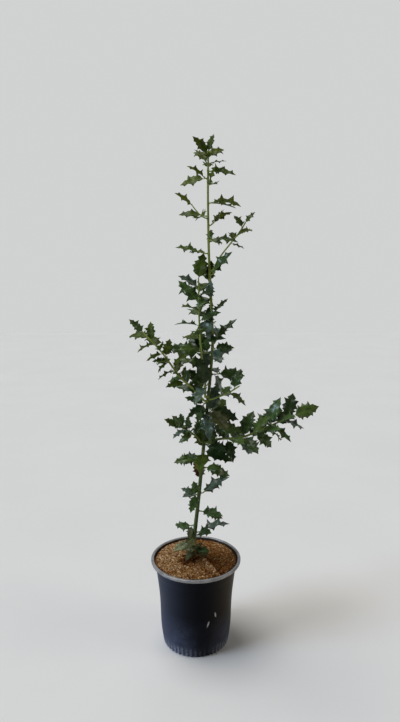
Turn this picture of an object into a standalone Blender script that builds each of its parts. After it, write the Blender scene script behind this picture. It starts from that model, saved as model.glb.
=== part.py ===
# A young holly tree in a nursery pot: pot, growing medium, trunk, boughs and masses of foliage.
# Metres, +Z up. The origin is the centre of the pot's flat underside, and -Y is the front.

import math
import random

import bmesh
import bpy
from mathutils import Matrix, Vector
from mathutils.bvhtree import BVHTree

# Pot: heights and outer radii
POT_HEIGHT = 0.253
RIM_RADIUS = 0.130
RIM_INNER_RADIUS = 0.1215
LIP_HEIGHT = 0.0080
LIP_ROUND = 0.0015
NECK_RADIUS = 0.1170
NECK_HEIGHT = 0.233
MIDDLE_RADIUS = 0.1070
MIDDLE_HEIGHT = 0.145
HIP_RADIUS = 0.1035
HIP_HEIGHT = 0.060
FOOT_RADIUS = 0.1005
FOOT_HEIGHT = 0.028
TOE_RADIUS = 0.0980
TOE_HEIGHT = 0.010
BASE_RADIUS = 0.0935
POT_WALL = 0.0022
POT_STEPS = 48

# Growing medium: it fills the pot and rises a little towards the trunk
MEDIUM_EDGE_HEIGHT = 0.2435
MOUND_HEIGHT = 0.2580
MOUND_TOP_RADIUS = 0.022
MOUND_SHOULDER_RADIUS = 0.060
MOUND_SHOULDER_HEIGHT = 0.2540
MEDIUM_STEPS = 36

# The gap that pieces which touch in the real plant keep between them
CLEARANCE = 0.0003
# The gap that foliage keeps to limbs and to other foliage
LEAF_CLEARANCE = 0.0012
# Points closer than this are one point
WELD = 0.00001
# Edges that turn by more than this are sharp
SHARP_ANGLE = math.radians(35)

# Trunk: its axis from the ground to the tip, and its radii
TRUNK_AXIS = (
    (-0.010, 0.000, MOUND_HEIGHT + CLEARANCE),
    (-0.007, 0.000, 0.290),
    (0.009, 0.003, 0.442),
    (0.027, 0.006, 0.637),
    (0.045, 0.004, 0.845),
    (0.045, 0.000, 0.935),
    (0.036, -0.003, 1.110),
    (0.033, -0.001, 1.250),
    (0.033, 0.000, 1.335),
)
TRUNK_RADIUS = 0.0058
TRUNK_TIP_RADIUS = 0.0026
TRUNK_FLARE = 0.0034
FLARE_HEIGHT = 0.012
TRUNK_STEPS = 30

# Boughs: the points each one runs through after it leaves the trunk, the bare share of its length,
# its radius at the trunk and at its tip, and the foliage on the rest of it: leaves, size and seed
BOUGHS = {
    "second_stem": {
        "height": 0.728,
        "through": ((0.026, -0.005, 0.775), (0.016, -0.008, 0.850),
                    (0.010, -0.008, 0.940), (0.008, -0.007, 1.054)),
        "bare": 0.40, "radii": (0.0032, 0.0019), "leaves": 15, "leaf_size": 0.078, "seed": 6541,
    },
    "left_bough": {
        "height": 0.716,
        "through": ((-0.003, -0.012, 0.751), (-0.043, -0.026, 0.791),
                    (-0.089, -0.035, 0.857), (-0.140, -0.040, 0.914)),
        "bare": 0.24, "radii": (0.0032, 0.0018), "leaves": 17, "leaf_size": 0.064, "seed": 4863,
    },
    "right_bough": {
        "height": 0.598,
        "through": ((0.068, -0.010, 0.611), (0.127, -0.022, 0.619),
                    (0.190, -0.030, 0.648), (0.268, -0.034, 0.684)),
        "bare": 0.20, "radii": (0.0036, 0.0019), "leaves": 19, "leaf_size": 0.079, "seed": 7288,
    },
    "top_right_bough": {
        "height": 1.076,
        "through": ((0.064, 0.004, 1.109), (0.093, 0.008, 1.146),
                    (0.117, 0.010, 1.176), (0.134, 0.010, 1.203)),
        "bare": 0.55, "radii": (0.0024, 0.0017), "leaves": 6, "leaf_size": 0.046, "seed": 8529,
    },
    "low_left_bough": {
        "height": 0.598,
        "through": ((0.004, -0.008, 0.616), (-0.018, -0.016, 0.634),
                    (-0.044, -0.024, 0.651)),
        "bare": 0.35, "radii": (0.0027, 0.0019), "leaves": 7, "leaf_size": 0.055, "seed": 2253,
    },
    "middle_right_bough": {
        "height": 0.722,
        "through": ((0.066, -0.012, 0.733), (0.092, -0.020, 0.746),
                    (0.119, -0.028, 0.765)),
        "bare": 0.35, "radii": (0.0027, 0.0019), "leaves": 5, "leaf_size": 0.064, "seed": 9336,
    },
}

# Short leafy shoots on the trunk: height, bearing from +X towards +Y, rise above level (degrees),
# length of the shoot, number of leaves, leaf size, seed
TRUNK_SHOOTS = (
    (1.331, 348, -4, 0.009, 2, 0.066, 857),
    (1.312, 187, 47, 0.009, 2, 0.065, 968),
    (1.295, 293, 8, 0.009, 2, 0.059, 501),
    (1.250, 340, 9, 0.009, 2, 0.081, 493),
    (1.210, 226, 42, 0.070, 1, 0.054, 747),
    (1.217, 175, 15, 0.016, 2, 0.066, 863),
    (1.193, 5, 49, 0.014, 2, 0.059, 117),
    (1.151, 43, 14, 0.012, 2, 0.052, 748),
    (1.154, 327, 20, 0.013, 2, 0.084, 940),
    (1.120, 190, 19, 0.024, 2, 0.066, 285),
    (1.064, 344, 60, 0.014, 2, 0.070, 448),
    (1.043, 110, 45, 0.010, 2, 0.072, 419),
    (1.001, 247, 1, 0.018, 2, 0.064, 800),
    (0.964, 9, 55, 0.016, 2, 0.052, 685),
    (0.964, 234, -17, 0.009, 2, 0.072, 400),
    (0.937, 129, 38, 0.030, 3, 0.052, 211),
    (0.892, 16, 54, 0.009, 2, 0.071, 88),
    (0.866, 290, -10, 0.014, 2, 0.070, 40),
    (0.850, 171, 7, 0.030, 3, 0.084, 183),
    (0.841, 322, 14, 0.015, 3, 0.069, 764),
    (0.803, 153, 26, 0.019, 3, 0.084, 442),
    (0.793, 2, 1, 0.018, 2, 0.084, 297),
    (0.764, 242, -8, 0.025, 2, 0.078, 698),
    (0.741, 177, 14, 0.019, 3, 0.069, 617),
    (0.711, 215, -34, 0.011, 3, 0.068, 980),
    (0.697, 311, -27, 0.013, 3, 0.084, 616),
    (0.682, 36, 25, 0.009, 3, 0.078, 438),
    (0.653, 334, -7, 0.030, 3, 0.072, 99),
    (0.590, 4, 27, 0.024, 3, 0.084, 620),
    (0.576, 270, -19, 0.018, 2, 0.084, 853),
    (0.572, 79, 42, 0.021, 2, 0.084, 231),
    (0.548, 192, 4, 0.020, 2, 0.069, 258),
    (0.524, 359, -12, 0.013, 2, 0.072, 45),
    (0.482, 86, 25, 0.019, 2, 0.055, 884),
    (0.447, 353, 52, 0.017, 2, 0.077, 289),
    (0.444, 228, 19, 0.009, 4, 0.059, 174),
    (0.394, 349, -4, 0.014, 2, 0.068, 736),
    (0.348, 162, -25, 0.009, 2, 0.056, 797),
    (0.329, 359, 35, 0.018, 2, 0.080, 766),
    (0.309, 233, -9, 0.024, 3, 0.051, 146),
    (0.284, 281, 4, 0.010, 8, 0.044, 369),
)
BOUGH_STEPS = 40
LEAFY_STEPS = 12
SHOOT_RADIUS = 0.0017
SHOOT_TIP_RADIUS = 0.0014
SHOOT_STEPS = 4
# The share of a shoot's length after which it turns from the way out of the trunk to its own rise
SHOOT_BEND = 0.35
# Foliage above this height is this year's growth
YOUNG_HEIGHT = 1.15

# Smooth curves are worked out at this many places between two of their points
CURVE_STEPS = 16
# Sides of a limb: four times this number and four more
TRUNK_RESOLUTION = 4
BOUGH_RESOLUTION = 1
STEM_RESOLUTION = 0

# Tuft at the tip of the trunk
TUFT_THROUGH = ((0.0335, 0.000, 1.358), (0.034, 0.001, 1.382))
TUFT_LEAVES = 8
TUFT_LEAF_SIZE = 0.059
TUFT_SEED = 5901
TUFT_STEPS = 6

# Where the lowest leaf stands: a share of a bough's or the tuft's stem, a length on a short shoot
BOUGH_FIRST_LEAF = 0.06
TUFT_FIRST_LEAF = 0.10
SHOOT_FIRST_LEAF = 0.006
HIGHEST_FIRST_LEAF = 0.5
# The last leaf but one stands at this share, and the last one this far short of the tip
LAST_SIDE_LEAF = 0.94
TIP_LEAF_INSET = 0.003
# A mass keeps within half its stem's length and this many leaf lengths of its middle
LEAF_REACH = 1.25

# Leaves: the spiral they follow, and the spread of what varies from leaf to leaf
SPIRAL = 137.5
NUDGES = (0, 24, -24, 48, -48, 75, -75, 110, -110)
SPLAY = (48, 78)
TIP_SPLAY = (0, 16)
SWEEP = 0.35
BEND = (4, 42)
FOLD = (6, 18)
ROLL_SPREAD = 17
SIZE_SPREAD = (0.82, 1.12)
BREADTH = (0.46, 0.58)
DROOP = 0.16
# Blades turn their upper faces up and to the front, the more so the lower they stand
LIGHT_SIDE = -0.12
LIGHT_FRONT_LOW = -0.85
LIGHT_FRONT_HIGH = -0.70

# Outline of a leaf: place along it, and half width as a share of the widest. Wide places end in
# spines that turn up, and narrow ones between them turn down. The first two are the leaf stalk.
LEAF_OUTLINE = ((0.0, 0.0), (0.10, 0.0), (0.29, 1.0), (0.44, 0.66), (0.61, 0.96), (0.78, 0.42), (1.0, 0.0))
# Where the blade begins, for the gap that it keeps to its own stem
BLADE_START = (0.17, 0.3)
STALK_RADIUS = 0.00075
# Thickness at the midrib as a share of the length, and how it thins where the blade is narrow
LEAF_THICKNESS = 0.022
THINNEST = 0.4
THICKEN = 2.0
# Places at least this wide are spines
SPINE_WIDTH = 0.9
SPINE_LIFT = 0.16
HOLLOW_LIFT = -0.10


# Paths and limbs

def smooth_path(points, steps):
    # Points at even steps along a smooth curve that runs through the given points
    ends = [2 * points[0] - points[1], *points, 2 * points[-1] - points[-2]]
    fine = []
    for a, b, c, d in zip(ends, ends[1:], ends[2:], ends[3:]):
        for number in range(CURVE_STEPS):
            t = number / CURVE_STEPS
            fine.append(0.5 * (2 * b + (c - a) * t + (2 * a - 5 * b + 4 * c - d) * t ** 2
                               + (3 * b - a - 3 * c + d) * t ** 3))
    fine.append(points[-1])
    return even_steps(fine, steps)


def even_steps(fine, steps):
    # Points at even steps along a line of points
    lengths = [0.0]
    for a, b in zip(fine, fine[1:]):
        lengths.append(lengths[-1] + (b - a).length)
    path = []
    index = 0
    for number in range(steps + 1):
        wanted = lengths[-1] * number / steps
        while index < len(fine) - 2 and lengths[index + 1] < wanted:
            index += 1
        share = (wanted - lengths[index]) / (lengths[index + 1] - lengths[index])
        path.append(fine[index].lerp(fine[index + 1], share))
    return path


def point_on(path, share):
    # The point and the direction at a share of the path's length
    place = min(max(share, 0.0), 1.0) * (len(path) - 1)
    index = min(int(place), len(path) - 2)
    ahead = (path[index + 1] - path[index]).normalized()
    return path[index].lerp(path[index + 1], place - index), ahead


def limb_mesh(path, radii, resolution):
    # A tapering limb as a curve with a round bevel and capped ends, turned into a welded mesh
    curve = bpy.data.curves.new("limb", "CURVE")
    curve.dimensions = "3D"
    curve.bevel_depth = 1.0
    curve.bevel_resolution = resolution
    curve.use_fill_caps = True
    spline = curve.splines.new("POLY")
    spline.points.add(len(path) - 1)
    for point, place, radius in zip(spline.points, path, radii):
        point.co = (*place, 1.0)
        point.radius = radius
    guide = bpy.data.objects.new("limb", curve)
    bpy.context.scene.collection.objects.link(guide)
    bpy.context.view_layer.update()
    evaluated = guide.evaluated_get(bpy.context.evaluated_depsgraph_get())
    mesh = bpy.data.meshes.new_from_object(evaluated)
    bpy.data.objects.remove(guide)
    bpy.data.curves.remove(curve)
    shape = bmesh.new()
    shape.from_mesh(mesh)
    bmesh.ops.remove_doubles(shape, verts=shape.verts, dist=WELD)
    bmesh.ops.recalc_face_normals(shape, faces=shape.faces)
    shape.to_mesh(mesh)
    shape.free()
    return mesh


def taper(first, last, count):
    # Radii that change evenly from the first to the last
    return [first + (last - first) * number / (count - 1) for number in range(count)]


# Objects and materials

def material(name, colour, roughness):
    made = bpy.data.materials.new(name)
    made.use_nodes = True
    surface = made.node_tree.nodes["Principled BSDF"]
    surface.inputs["Base Color"].default_value = (*colour, 1.0)
    surface.inputs["Roughness"].default_value = roughness
    surface.inputs["Metallic"].default_value = 0.0
    made.diffuse_color = (*colour, 1.0)
    return made


def add_part(name, mesh, origin, surface):
    # A named part whose object origin lies at the given point
    mesh.transform(Matrix.Translation(-origin))
    mesh.materials.clear()
    mesh.materials.append(surface)
    mesh.shade_smooth()
    mesh.set_sharp_from_angle(angle=SHARP_ANGLE)
    part = bpy.data.objects.new(name, mesh)
    mesh.name = name
    parts.objects.link(part)
    part.location = origin
    part.parent = root
    return part


def tree_of(mesh):
    faces = [tuple(face.vertices) for face in mesh.polygons]
    return BVHTree.FromPolygons([vertex.co.copy() for vertex in mesh.vertices], faces)


# Pot and medium

def turned(name, profile, steps, surface):
    # A profile from the axis up the inside and down the outside, turned about +Z
    mesh = bpy.data.meshes.new(name)
    shape = bmesh.new()
    previous = None
    for radius, height in profile:
        vertex = shape.verts.new((radius, 0.0, height))
        if previous:
            shape.edges.new((previous, vertex))
        previous = vertex
    shape.to_mesh(mesh)
    shape.free()
    part = add_part(name, mesh, Vector((0, 0, 0)), surface)
    screw = part.modifiers.new("turn", "SCREW")
    screw.steps = steps
    screw.render_steps = steps
    screw.use_merge_vertices = True
    screw.merge_threshold = WELD
    return part


def pot_profile():
    lip_bottom = POT_HEIGHT - LIP_HEIGHT
    outside = [
        (RIM_RADIUS - LIP_ROUND, POT_HEIGHT),
        (RIM_RADIUS, POT_HEIGHT - LIP_ROUND),
        (RIM_RADIUS, lip_bottom + LIP_ROUND),
        (RIM_RADIUS - LIP_ROUND, lip_bottom),
        (RIM_INNER_RADIUS, lip_bottom),
        (NECK_RADIUS, NECK_HEIGHT),
        (MIDDLE_RADIUS, MIDDLE_HEIGHT),
        (HIP_RADIUS, HIP_HEIGHT),
        (FOOT_RADIUS, FOOT_HEIGHT),
        (TOE_RADIUS, TOE_HEIGHT),
        (BASE_RADIUS, 0.0),
        (0.0, 0.0),
    ]
    return [(0.0, POT_WALL), *pot_inside(), (RIM_INNER_RADIUS, POT_HEIGHT), *outside]


def pot_inside():
    # The inner wall from the floor up to the neck
    walls = ((TOE_RADIUS, TOE_HEIGHT), (FOOT_RADIUS, FOOT_HEIGHT), (HIP_RADIUS, HIP_HEIGHT),
             (MIDDLE_RADIUS, MIDDLE_HEIGHT), (NECK_RADIUS, NECK_HEIGHT))
    inside = [(BASE_RADIUS - POT_WALL, POT_WALL)]
    inside += [(radius - POT_WALL, height) for radius, height in walls]
    inside.append((RIM_INNER_RADIUS - POT_WALL, POT_HEIGHT - LIP_HEIGHT + POT_WALL))
    return inside


def medium_profile():
    # The medium keeps the clearance to the pot's floor and to its inner wall
    *inside, lip = pot_inside()
    neck = inside[-1]
    share = (MEDIUM_EDGE_HEIGHT - neck[1]) / (lip[1] - neck[1])
    edge = neck[0] + (lip[0] - neck[0]) * share - CLEARANCE
    below = [(radius - CLEARANCE, max(height, POT_WALL + CLEARANCE)) for radius, height in inside]
    top = [(0.0, MOUND_HEIGHT), (MOUND_TOP_RADIUS, MOUND_HEIGHT),
           (MOUND_SHOULDER_RADIUS, MOUND_SHOULDER_HEIGHT), (edge, MEDIUM_EDGE_HEIGHT)]
    return [*top, *reversed(below), (0.0, POT_WALL + CLEARANCE)]


# Leaves

class Leaf:
    # A leaf on a stem: its root, the way it points, its upper side, its size and how it bends

    def __init__(self, root_point, ahead, up, length, breadth, bend, fold):
        self.root = root_point
        self.ahead = ahead
        self.up = up
        self.side = ahead.cross(up)
        self.length = length
        self.breadth = breadth
        self.bend = bend
        self.fold = fold

    def point(self, along, across, lift):
        # A point of the blade: along is 0 at the root and 1 at the tip, across and lift are in metres
        turn = self.bend * along
        forward = math.sin(turn) / self.bend
        down = (1 - math.cos(turn)) / self.bend
        middle = self.root + self.length * (forward * self.ahead - down * self.up)
        normal = math.cos(turn) * self.up + math.sin(turn) * self.ahead
        out = across * math.cos(self.fold)
        rise = abs(across) * math.sin(self.fold) + lift
        return middle + self.side * out + normal * rise


def leaf_shape(leaf, stations, thickness, margin):
    # A thin solid with four corners at each station: two edges, the top of the midrib and its underside
    shape = bmesh.new()
    bmesh.ops.create_cone(shape, cap_ends=True, segments=4, radius1=1, radius2=1, depth=1)
    lengthwise = [e for e in shape.edges if abs(e.verts[0].co.z - e.verts[1].co.z) > 0.5]
    bmesh.ops.subdivide_edges(shape, edges=lengthwise, cuts=len(stations) - 2)
    roles = {}
    for vertex in shape.verts:
        station = round((vertex.co.z + 0.5) * (len(stations) - 1))
        quarter = round(math.atan2(vertex.co.y, vertex.co.x) / (math.pi / 2)) % 4
        roles[vertex] = (station, quarter)
    for vertex, (station, quarter) in roles.items():
        along, width = stations[station]
        half = max(width * leaf.breadth * leaf.length / 2 + margin * (width > 0), STALK_RADIUS)
        thick = max(thickness * min(1.0, THINNEST + THICKEN * width), 2 * STALK_RADIUS) / 2
        if along >= 1.0:
            half = thick = 0.0
        edge_lift = half * (SPINE_LIFT if width >= SPINE_WIDTH else HOLLOW_LIFT) * (width > 0)
        across = (half, 0, -half, 0)[quarter]
        lift = (edge_lift, thick, edge_lift, -thick)[quarter]
        vertex.co = leaf.point(along, across, lift)
    # Upper and lower faces are cut along the same diagonals, so they never cross
    for face in list(shape.faces):
        here = sorted({roles[v][0] for v in face.verts})
        if len(face.verts) == 4 and len(here) == 2:
            edge = next(v for v in face.verts if roles[v][0] == here[0] and roles[v][1] % 2 == 0)
            midrib = next(v for v in face.verts if roles[v][0] == here[1] and roles[v][1] % 2 == 1)
            bmesh.utils.face_split(face, edge, midrib)
    bmesh.ops.remove_doubles(shape, verts=shape.verts, dist=WELD)
    bmesh.ops.recalc_face_normals(shape, faces=shape.faces)
    return shape


def leaf_thickness(leaf):
    return LEAF_THICKNESS * leaf.length


def blade_tree(leaf, whole):
    # The leaf with the gap it needs around it, with or without its stalk
    stations = LEAF_OUTLINE if whole else (BLADE_START, *LEAF_OUTLINE[2:])
    shape = leaf_shape(leaf, stations, leaf_thickness(leaf) + 2 * LEAF_CLEARANCE, LEAF_CLEARANCE)
    tree = BVHTree.FromBMesh(shape)
    shape.free()
    return tree


def is_free(leaf, stem_tree, own_blades):
    # Clear of every other part, and its blade clear of its own stem and of the leaves beside it
    whole = blade_tree(leaf, True)
    if any(whole.overlap(other) for other in obstacles):
        return False
    blade = blade_tree(leaf, False)
    return not blade.overlap(stem_tree) and not any(blade.overlap(other) for other in own_blades)


def light_at(height):
    # The way that upper faces turn at a height
    share = (height - MOUND_HEIGHT) / (TRUNK_AXIS[-1][2] - MOUND_HEIGHT)
    return Vector((LIGHT_SIDE, LIGHT_FRONT_LOW + (LIGHT_FRONT_HIGH - LIGHT_FRONT_LOW) * share, 1.0))


def grow_leaves(path, stem_tree, count, first, size, seed):
    # Leaves in a spiral round a stem, the last one at its tip. One that finds no room is left out.
    chance = random.Random(seed)
    spin = chance.uniform(0, 360)
    length_of_stem = sum((b - a).length for a, b in zip(path, path[1:]))
    middle = point_on(path, 0.5)[0]
    reach = length_of_stem / 2 + size * LEAF_REACH
    leaves = []
    own_blades = []
    for number in range(count):
        at_tip = number == count - 1
        share = first + (LAST_SIDE_LEAF - first) * number / max(count - 1, 1)
        if at_tip:
            share = 1 - TIP_LEAF_INSET / length_of_stem
        splay = math.radians(chance.uniform(*(TIP_SPLAY if at_tip else SPLAY))) * (1 - SWEEP * share)
        length = size * chance.uniform(*SIZE_SPREAD)
        breadth = chance.uniform(*BREADTH)
        bend = math.radians(chance.uniform(*BEND))
        fold = math.radians(chance.uniform(*FOLD))
        roll = math.radians(chance.gauss(0, ROLL_SPREAD))
        base, axis = point_on(path, share)
        light = light_at(base.z)
        across = axis.orthogonal().normalized()
        for nudge in NUDGES:
            turned_out = Matrix.Rotation(math.radians(spin + number * SPIRAL + nudge), 3, axis) @ across
            ahead = axis * math.cos(splay) + turned_out * math.sin(splay)
            ahead.z -= DROOP * math.sin(splay)
            ahead.normalize()
            up = (light - light.dot(ahead) * ahead).normalized()
            up = Matrix.Rotation(roll, 3, ahead) @ up
            leaf = Leaf(base, ahead, up, length, breadth, bend, fold)
            inside = (leaf.point(1.0, 0, 0) - middle).length < reach
            if inside and is_free(leaf, stem_tree, own_blades):
                leaves.append(leaf)
                own_blades.append(blade_tree(leaf, False))
                break
    return leaves


def keep_largest_body(mesh):
    # Drops every connected body of the mesh but the largest
    shape = bmesh.new()
    shape.from_mesh(mesh)
    left = set(shape.verts)
    bodies = []
    while left:
        body = set()
        edge = [left.pop()]
        while edge:
            vertex = edge.pop()
            body.add(vertex)
            for link in vertex.link_edges:
                other = link.other_vert(vertex)
                if other in left:
                    left.discard(other)
                    edge.append(other)
        bodies.append(body)
    bodies.sort(key=len)
    for scrap in bodies[:-1]:
        bmesh.ops.delete(shape, geom=list(scrap), context="VERTS")
    shape.to_mesh(mesh)
    shape.free()


def add_foliage(name, path, radii, count, first, size, seed):
    # One mass: a stem with its leaves fused on by a Boolean union on a collection
    stem_mesh = limb_mesh(path, radii, STEM_RESOLUTION)
    stem_tree = tree_of(stem_mesh)
    if any(stem_tree.overlap(other) for other in obstacles):
        print(name, "finds no room and is left out")
        return
    leaves = grow_leaves(path, stem_tree, count, first, size, seed)
    fused = bpy.data.collections.new("fused leaves")
    bpy.context.scene.collection.children.link(fused)
    for leaf in leaves:
        shape = leaf_shape(leaf, LEAF_OUTLINE, leaf_thickness(leaf), 0.0)
        mesh = bpy.data.meshes.new("leaf")
        shape.to_mesh(mesh)
        shape.free()
        fused.objects.link(bpy.data.objects.new("leaf", mesh))
    stem = bpy.data.objects.new("stem", stem_mesh)
    bpy.context.scene.collection.objects.link(stem)
    union = stem.modifiers.new("union", "BOOLEAN")
    union.operation = "UNION"
    union.operand_type = "COLLECTION"
    union.collection = fused
    union.solver = "EXACT"
    bpy.context.view_layer.update()
    evaluated = stem.evaluated_get(bpy.context.evaluated_depsgraph_get())
    mesh = bpy.data.meshes.new_from_object(evaluated)
    bpy.data.objects.remove(stem)
    for piece in list(fused.objects):
        bpy.data.objects.remove(piece)
    bpy.data.collections.remove(fused)
    keep_largest_body(mesh)
    print(name, len(leaves), "of", count, "leaves")
    obstacles.append(tree_of(mesh))
    surface = young_leaf_green if path[0].z > YOUNG_HEIGHT else leaf_green
    add_part(name, mesh, path[0].copy(), surface)


# Trunk, boughs and shoots

def add_trunk():
    path = smooth_path([Vector(p) for p in TRUNK_AXIS], TRUNK_STEPS)
    # The two lowest points stand one above the other, so the cut at the ground is level
    ground = path[0].copy()
    path = [ground, ground + Vector((0, 0, FLARE_HEIGHT / 3)), *path[1:]]
    radii = []
    for point in path:
        height = point.z - ground.z
        share = height / (path[-1].z - ground.z)
        flare = TRUNK_FLARE * math.exp(-height / FLARE_HEIGHT)
        radii.append(TRUNK_RADIUS + (TRUNK_TIP_RADIUS - TRUNK_RADIUS) * share + flare)
    mesh = limb_mesh(path, radii, TRUNK_RESOLUTION)
    obstacles.append(tree_of(mesh))
    add_part("trunk", mesh, ground, bark)
    return path, radii


def leaving_trunk(height, bearing):
    # The place on the trunk's skin, with the clearance, and the level way out from there
    for index, point in enumerate(trunk_path):
        if point.z > height:
            break
    below = trunk_path[index - 1]
    share = (height - below.z) / (point.z - below.z)
    centre = below.lerp(point, share)
    skin = trunk_radii[index - 1] + (trunk_radii[index] - trunk_radii[index - 1]) * share
    along = (point - below).normalized()
    out = Vector((math.cos(bearing), math.sin(bearing), 0))
    out = (out - out.dot(along) * along).normalized()
    return centre + out * (skin + CLEARANCE), out


def add_bough(name, size):
    # The bare part of the bough, then the foliage that goes on from its tip
    through = [Vector(p) for p in size["through"]]
    near = leaving_trunk(size["height"], 0.0)[0]
    bearing = math.atan2(through[0].y - near.y, through[0].x - near.x)
    start, out = leaving_trunk(size["height"], bearing)
    thick, thin = size["radii"]
    path = smooth_path([start, start + out * 2 * thick, *through], BOUGH_STEPS)
    # The first stretch runs straight out, so the bough's end lies flat against the trunk
    path[1] = start + out * (path[1] - start).length
    last_bare = round(BOUGH_STEPS * size["bare"])
    radii = taper(thick, thin, len(path))
    bare_path = [path[0], *path[1:last_bare:2], path[last_bare]]
    bare_radii = [radii[0], *radii[1:last_bare:2], radii[last_bare]]
    mesh = limb_mesh(bare_path, bare_radii, BOUGH_RESOLUTION)
    obstacles.append(tree_of(mesh))
    add_part(name, mesh, path[0].copy(), green_bark)
    ahead = (path[last_bare] - path[last_bare - 1]).normalized()
    leafy = [path[last_bare] + ahead * CLEARANCE, *path[last_bare + 1:]]
    return even_steps(leafy, LEAFY_STEPS), (radii[last_bare], thin)


def shoot_mass(name, height, bearing, rise, length, count, size, seed):
    # A short shoot that leaves the trunk straight and then turns to its own rise
    turn, climb = math.radians(bearing), math.radians(rise)
    start, out = leaving_trunk(height, turn)
    ahead = Vector((math.cos(turn) * math.cos(climb), math.sin(turn) * math.cos(climb), math.sin(climb)))
    bend = start + out * length * SHOOT_BEND
    tip = bend + ahead * length * (1 - SHOOT_BEND)
    curve = []
    for number in range(CURVE_STEPS + 1):
        t = number / CURVE_STEPS
        curve.append(start * (1 - t) ** 2 + bend * 2 * t * (1 - t) + tip * t ** 2)
    path = even_steps(curve, SHOOT_STEPS)
    radii = taper(SHOOT_RADIUS, SHOOT_TIP_RADIUS, len(path))
    first = min(HIGHEST_FIRST_LEAF, SHOOT_FIRST_LEAF / length)
    return mass_of(name, path, radii, count, first, size, seed)


def mass_of(name, path, radii, count, first, size, seed):
    # What add_foliage needs to make one mass
    return {"name": name, "path": path, "radii": radii, "count": count, "first": first,
            "size": size, "seed": seed}


for thing in list(bpy.data.objects):
    bpy.data.objects.remove(thing)

parts = bpy.data.collections.new("Holly tree")
bpy.context.scene.collection.children.link(parts)
root = bpy.data.objects.new("holly_tree_origin", None)
parts.objects.link(root)

pot_plastic = material("pot plastic", (0.028, 0.034, 0.045), 0.42)
mulch = material("mulch", (0.24, 0.14, 0.07), 0.95)
bark = material("bark", (0.11, 0.13, 0.055), 0.70)
green_bark = material("green bark", (0.13, 0.20, 0.06), 0.60)
leaf_green = material("leaf green", (0.035, 0.085, 0.030), 0.35)
young_leaf_green = material("young leaf green", (0.10, 0.19, 0.04), 0.38)

# Trees of the faces that new foliage must keep clear of
obstacles = []

pot = turned("pot", pot_profile(), POT_STEPS, pot_plastic)
medium = turned("growing_medium", medium_profile(), MEDIUM_STEPS, mulch)
bpy.context.view_layer.update()
for turned_part in (pot, medium):
    evaluated_part = turned_part.evaluated_get(bpy.context.evaluated_depsgraph_get())
    obstacles.append(tree_of(evaluated_part.data))

trunk_path, trunk_radii = add_trunk()
leafy_stems = {name: add_bough(name, size) for name, size in BOUGHS.items()}

masses = []
for name, (path, radii) in leafy_stems.items():
    size = BOUGHS[name]
    masses.append(mass_of(name + "_leaves", path, taper(*radii, len(path)), size["leaves"],
                          BOUGH_FIRST_LEAF, size["leaf_size"], size["seed"]))

tuft_start = trunk_path[-1] + (trunk_path[-1] - trunk_path[-2]).normalized() * CLEARANCE
tuft_path = smooth_path([tuft_start, *[Vector(p) for p in TUFT_THROUGH]], TUFT_STEPS)
tuft_radii = taper(TRUNK_TIP_RADIUS, SHOOT_TIP_RADIUS, len(tuft_path))
masses.append(mass_of("top_tuft_leaves", tuft_path, tuft_radii, TUFT_LEAVES, TUFT_FIRST_LEAF,
                      TUFT_LEAF_SIZE, TUFT_SEED))

for number, shoot in enumerate(TRUNK_SHOOTS, 1):
    masses.append(shoot_mass(f"trunk_shoot_{number:02d}_leaves", *shoot))

# The largest masses take their room first
masses.sort(key=lambda mass: -mass["count"])
for mass in masses:
    add_foliage(**mass)
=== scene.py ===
# Looks of a young holly in a nursery pot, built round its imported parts
# Metres, +Z up, -Y is the front, and the origin is the centre of the pot's underside

import math
import random

import bmesh
import bpy
import numpy as np
from mathutils import Matrix, Vector, noise
from mathutils.bvhtree import BVHTree
from mathutils.kdtree import KDTree


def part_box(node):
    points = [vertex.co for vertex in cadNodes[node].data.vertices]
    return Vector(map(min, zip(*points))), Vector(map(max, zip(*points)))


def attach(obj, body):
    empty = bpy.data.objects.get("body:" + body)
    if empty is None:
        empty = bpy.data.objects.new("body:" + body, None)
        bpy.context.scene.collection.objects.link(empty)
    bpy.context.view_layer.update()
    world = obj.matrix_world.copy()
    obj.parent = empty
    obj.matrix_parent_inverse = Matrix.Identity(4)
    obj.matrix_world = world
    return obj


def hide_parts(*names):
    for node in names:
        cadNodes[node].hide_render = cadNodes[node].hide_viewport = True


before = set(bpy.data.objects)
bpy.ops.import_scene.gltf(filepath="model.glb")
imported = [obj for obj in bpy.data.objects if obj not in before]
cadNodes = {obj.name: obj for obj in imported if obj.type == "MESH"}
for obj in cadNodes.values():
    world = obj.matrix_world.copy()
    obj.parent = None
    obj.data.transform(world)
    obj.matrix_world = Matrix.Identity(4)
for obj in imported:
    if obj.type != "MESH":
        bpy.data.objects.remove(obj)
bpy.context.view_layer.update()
weld = 0.00001          # points closer than this are one point
curveSteps = 16         # between two given points of a curve
print("frame:", len(cadNodes), "parts")


# Shader building blocks

def newGroup(name, inputs, outputs):
    # A node group with named sockets, whose kinds follow from the values that they start with
    group = bpy.data.node_groups.new(name, "ShaderNodeTree")
    for side, sockets in (("INPUT", inputs), ("OUTPUT", outputs)):
        for label, value in sockets.items():
            size = len(value) if isinstance(value, tuple) else 1
            kind = {1: "NodeSocketFloat", 3: "NodeSocketVector", 4: "NodeSocketColor"}[size]
            group.interface.new_socket(name=label, in_out=side, socket_type=kind).default_value = value
    return group, group.nodes.new("NodeGroupInput").outputs, group.nodes.new("NodeGroupOutput").inputs


def addNode(tree, kind, **settings):
    node = tree.nodes.new(kind)
    for label, value in settings.items():
        setattr(node, label, value)
    return node


def mixColours(tree, factor, first, second):
    # Each of the three is a socket, or a colour or number that stays as it is
    mix = addNode(tree, "ShaderNodeMix", data_type="RGBA")
    for socket, value in ((mix.inputs["Factor"], factor), (mix.inputs[6], first), (mix.inputs[7], second)):
        plug(tree, socket, value)
    return mix.outputs[2]


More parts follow.
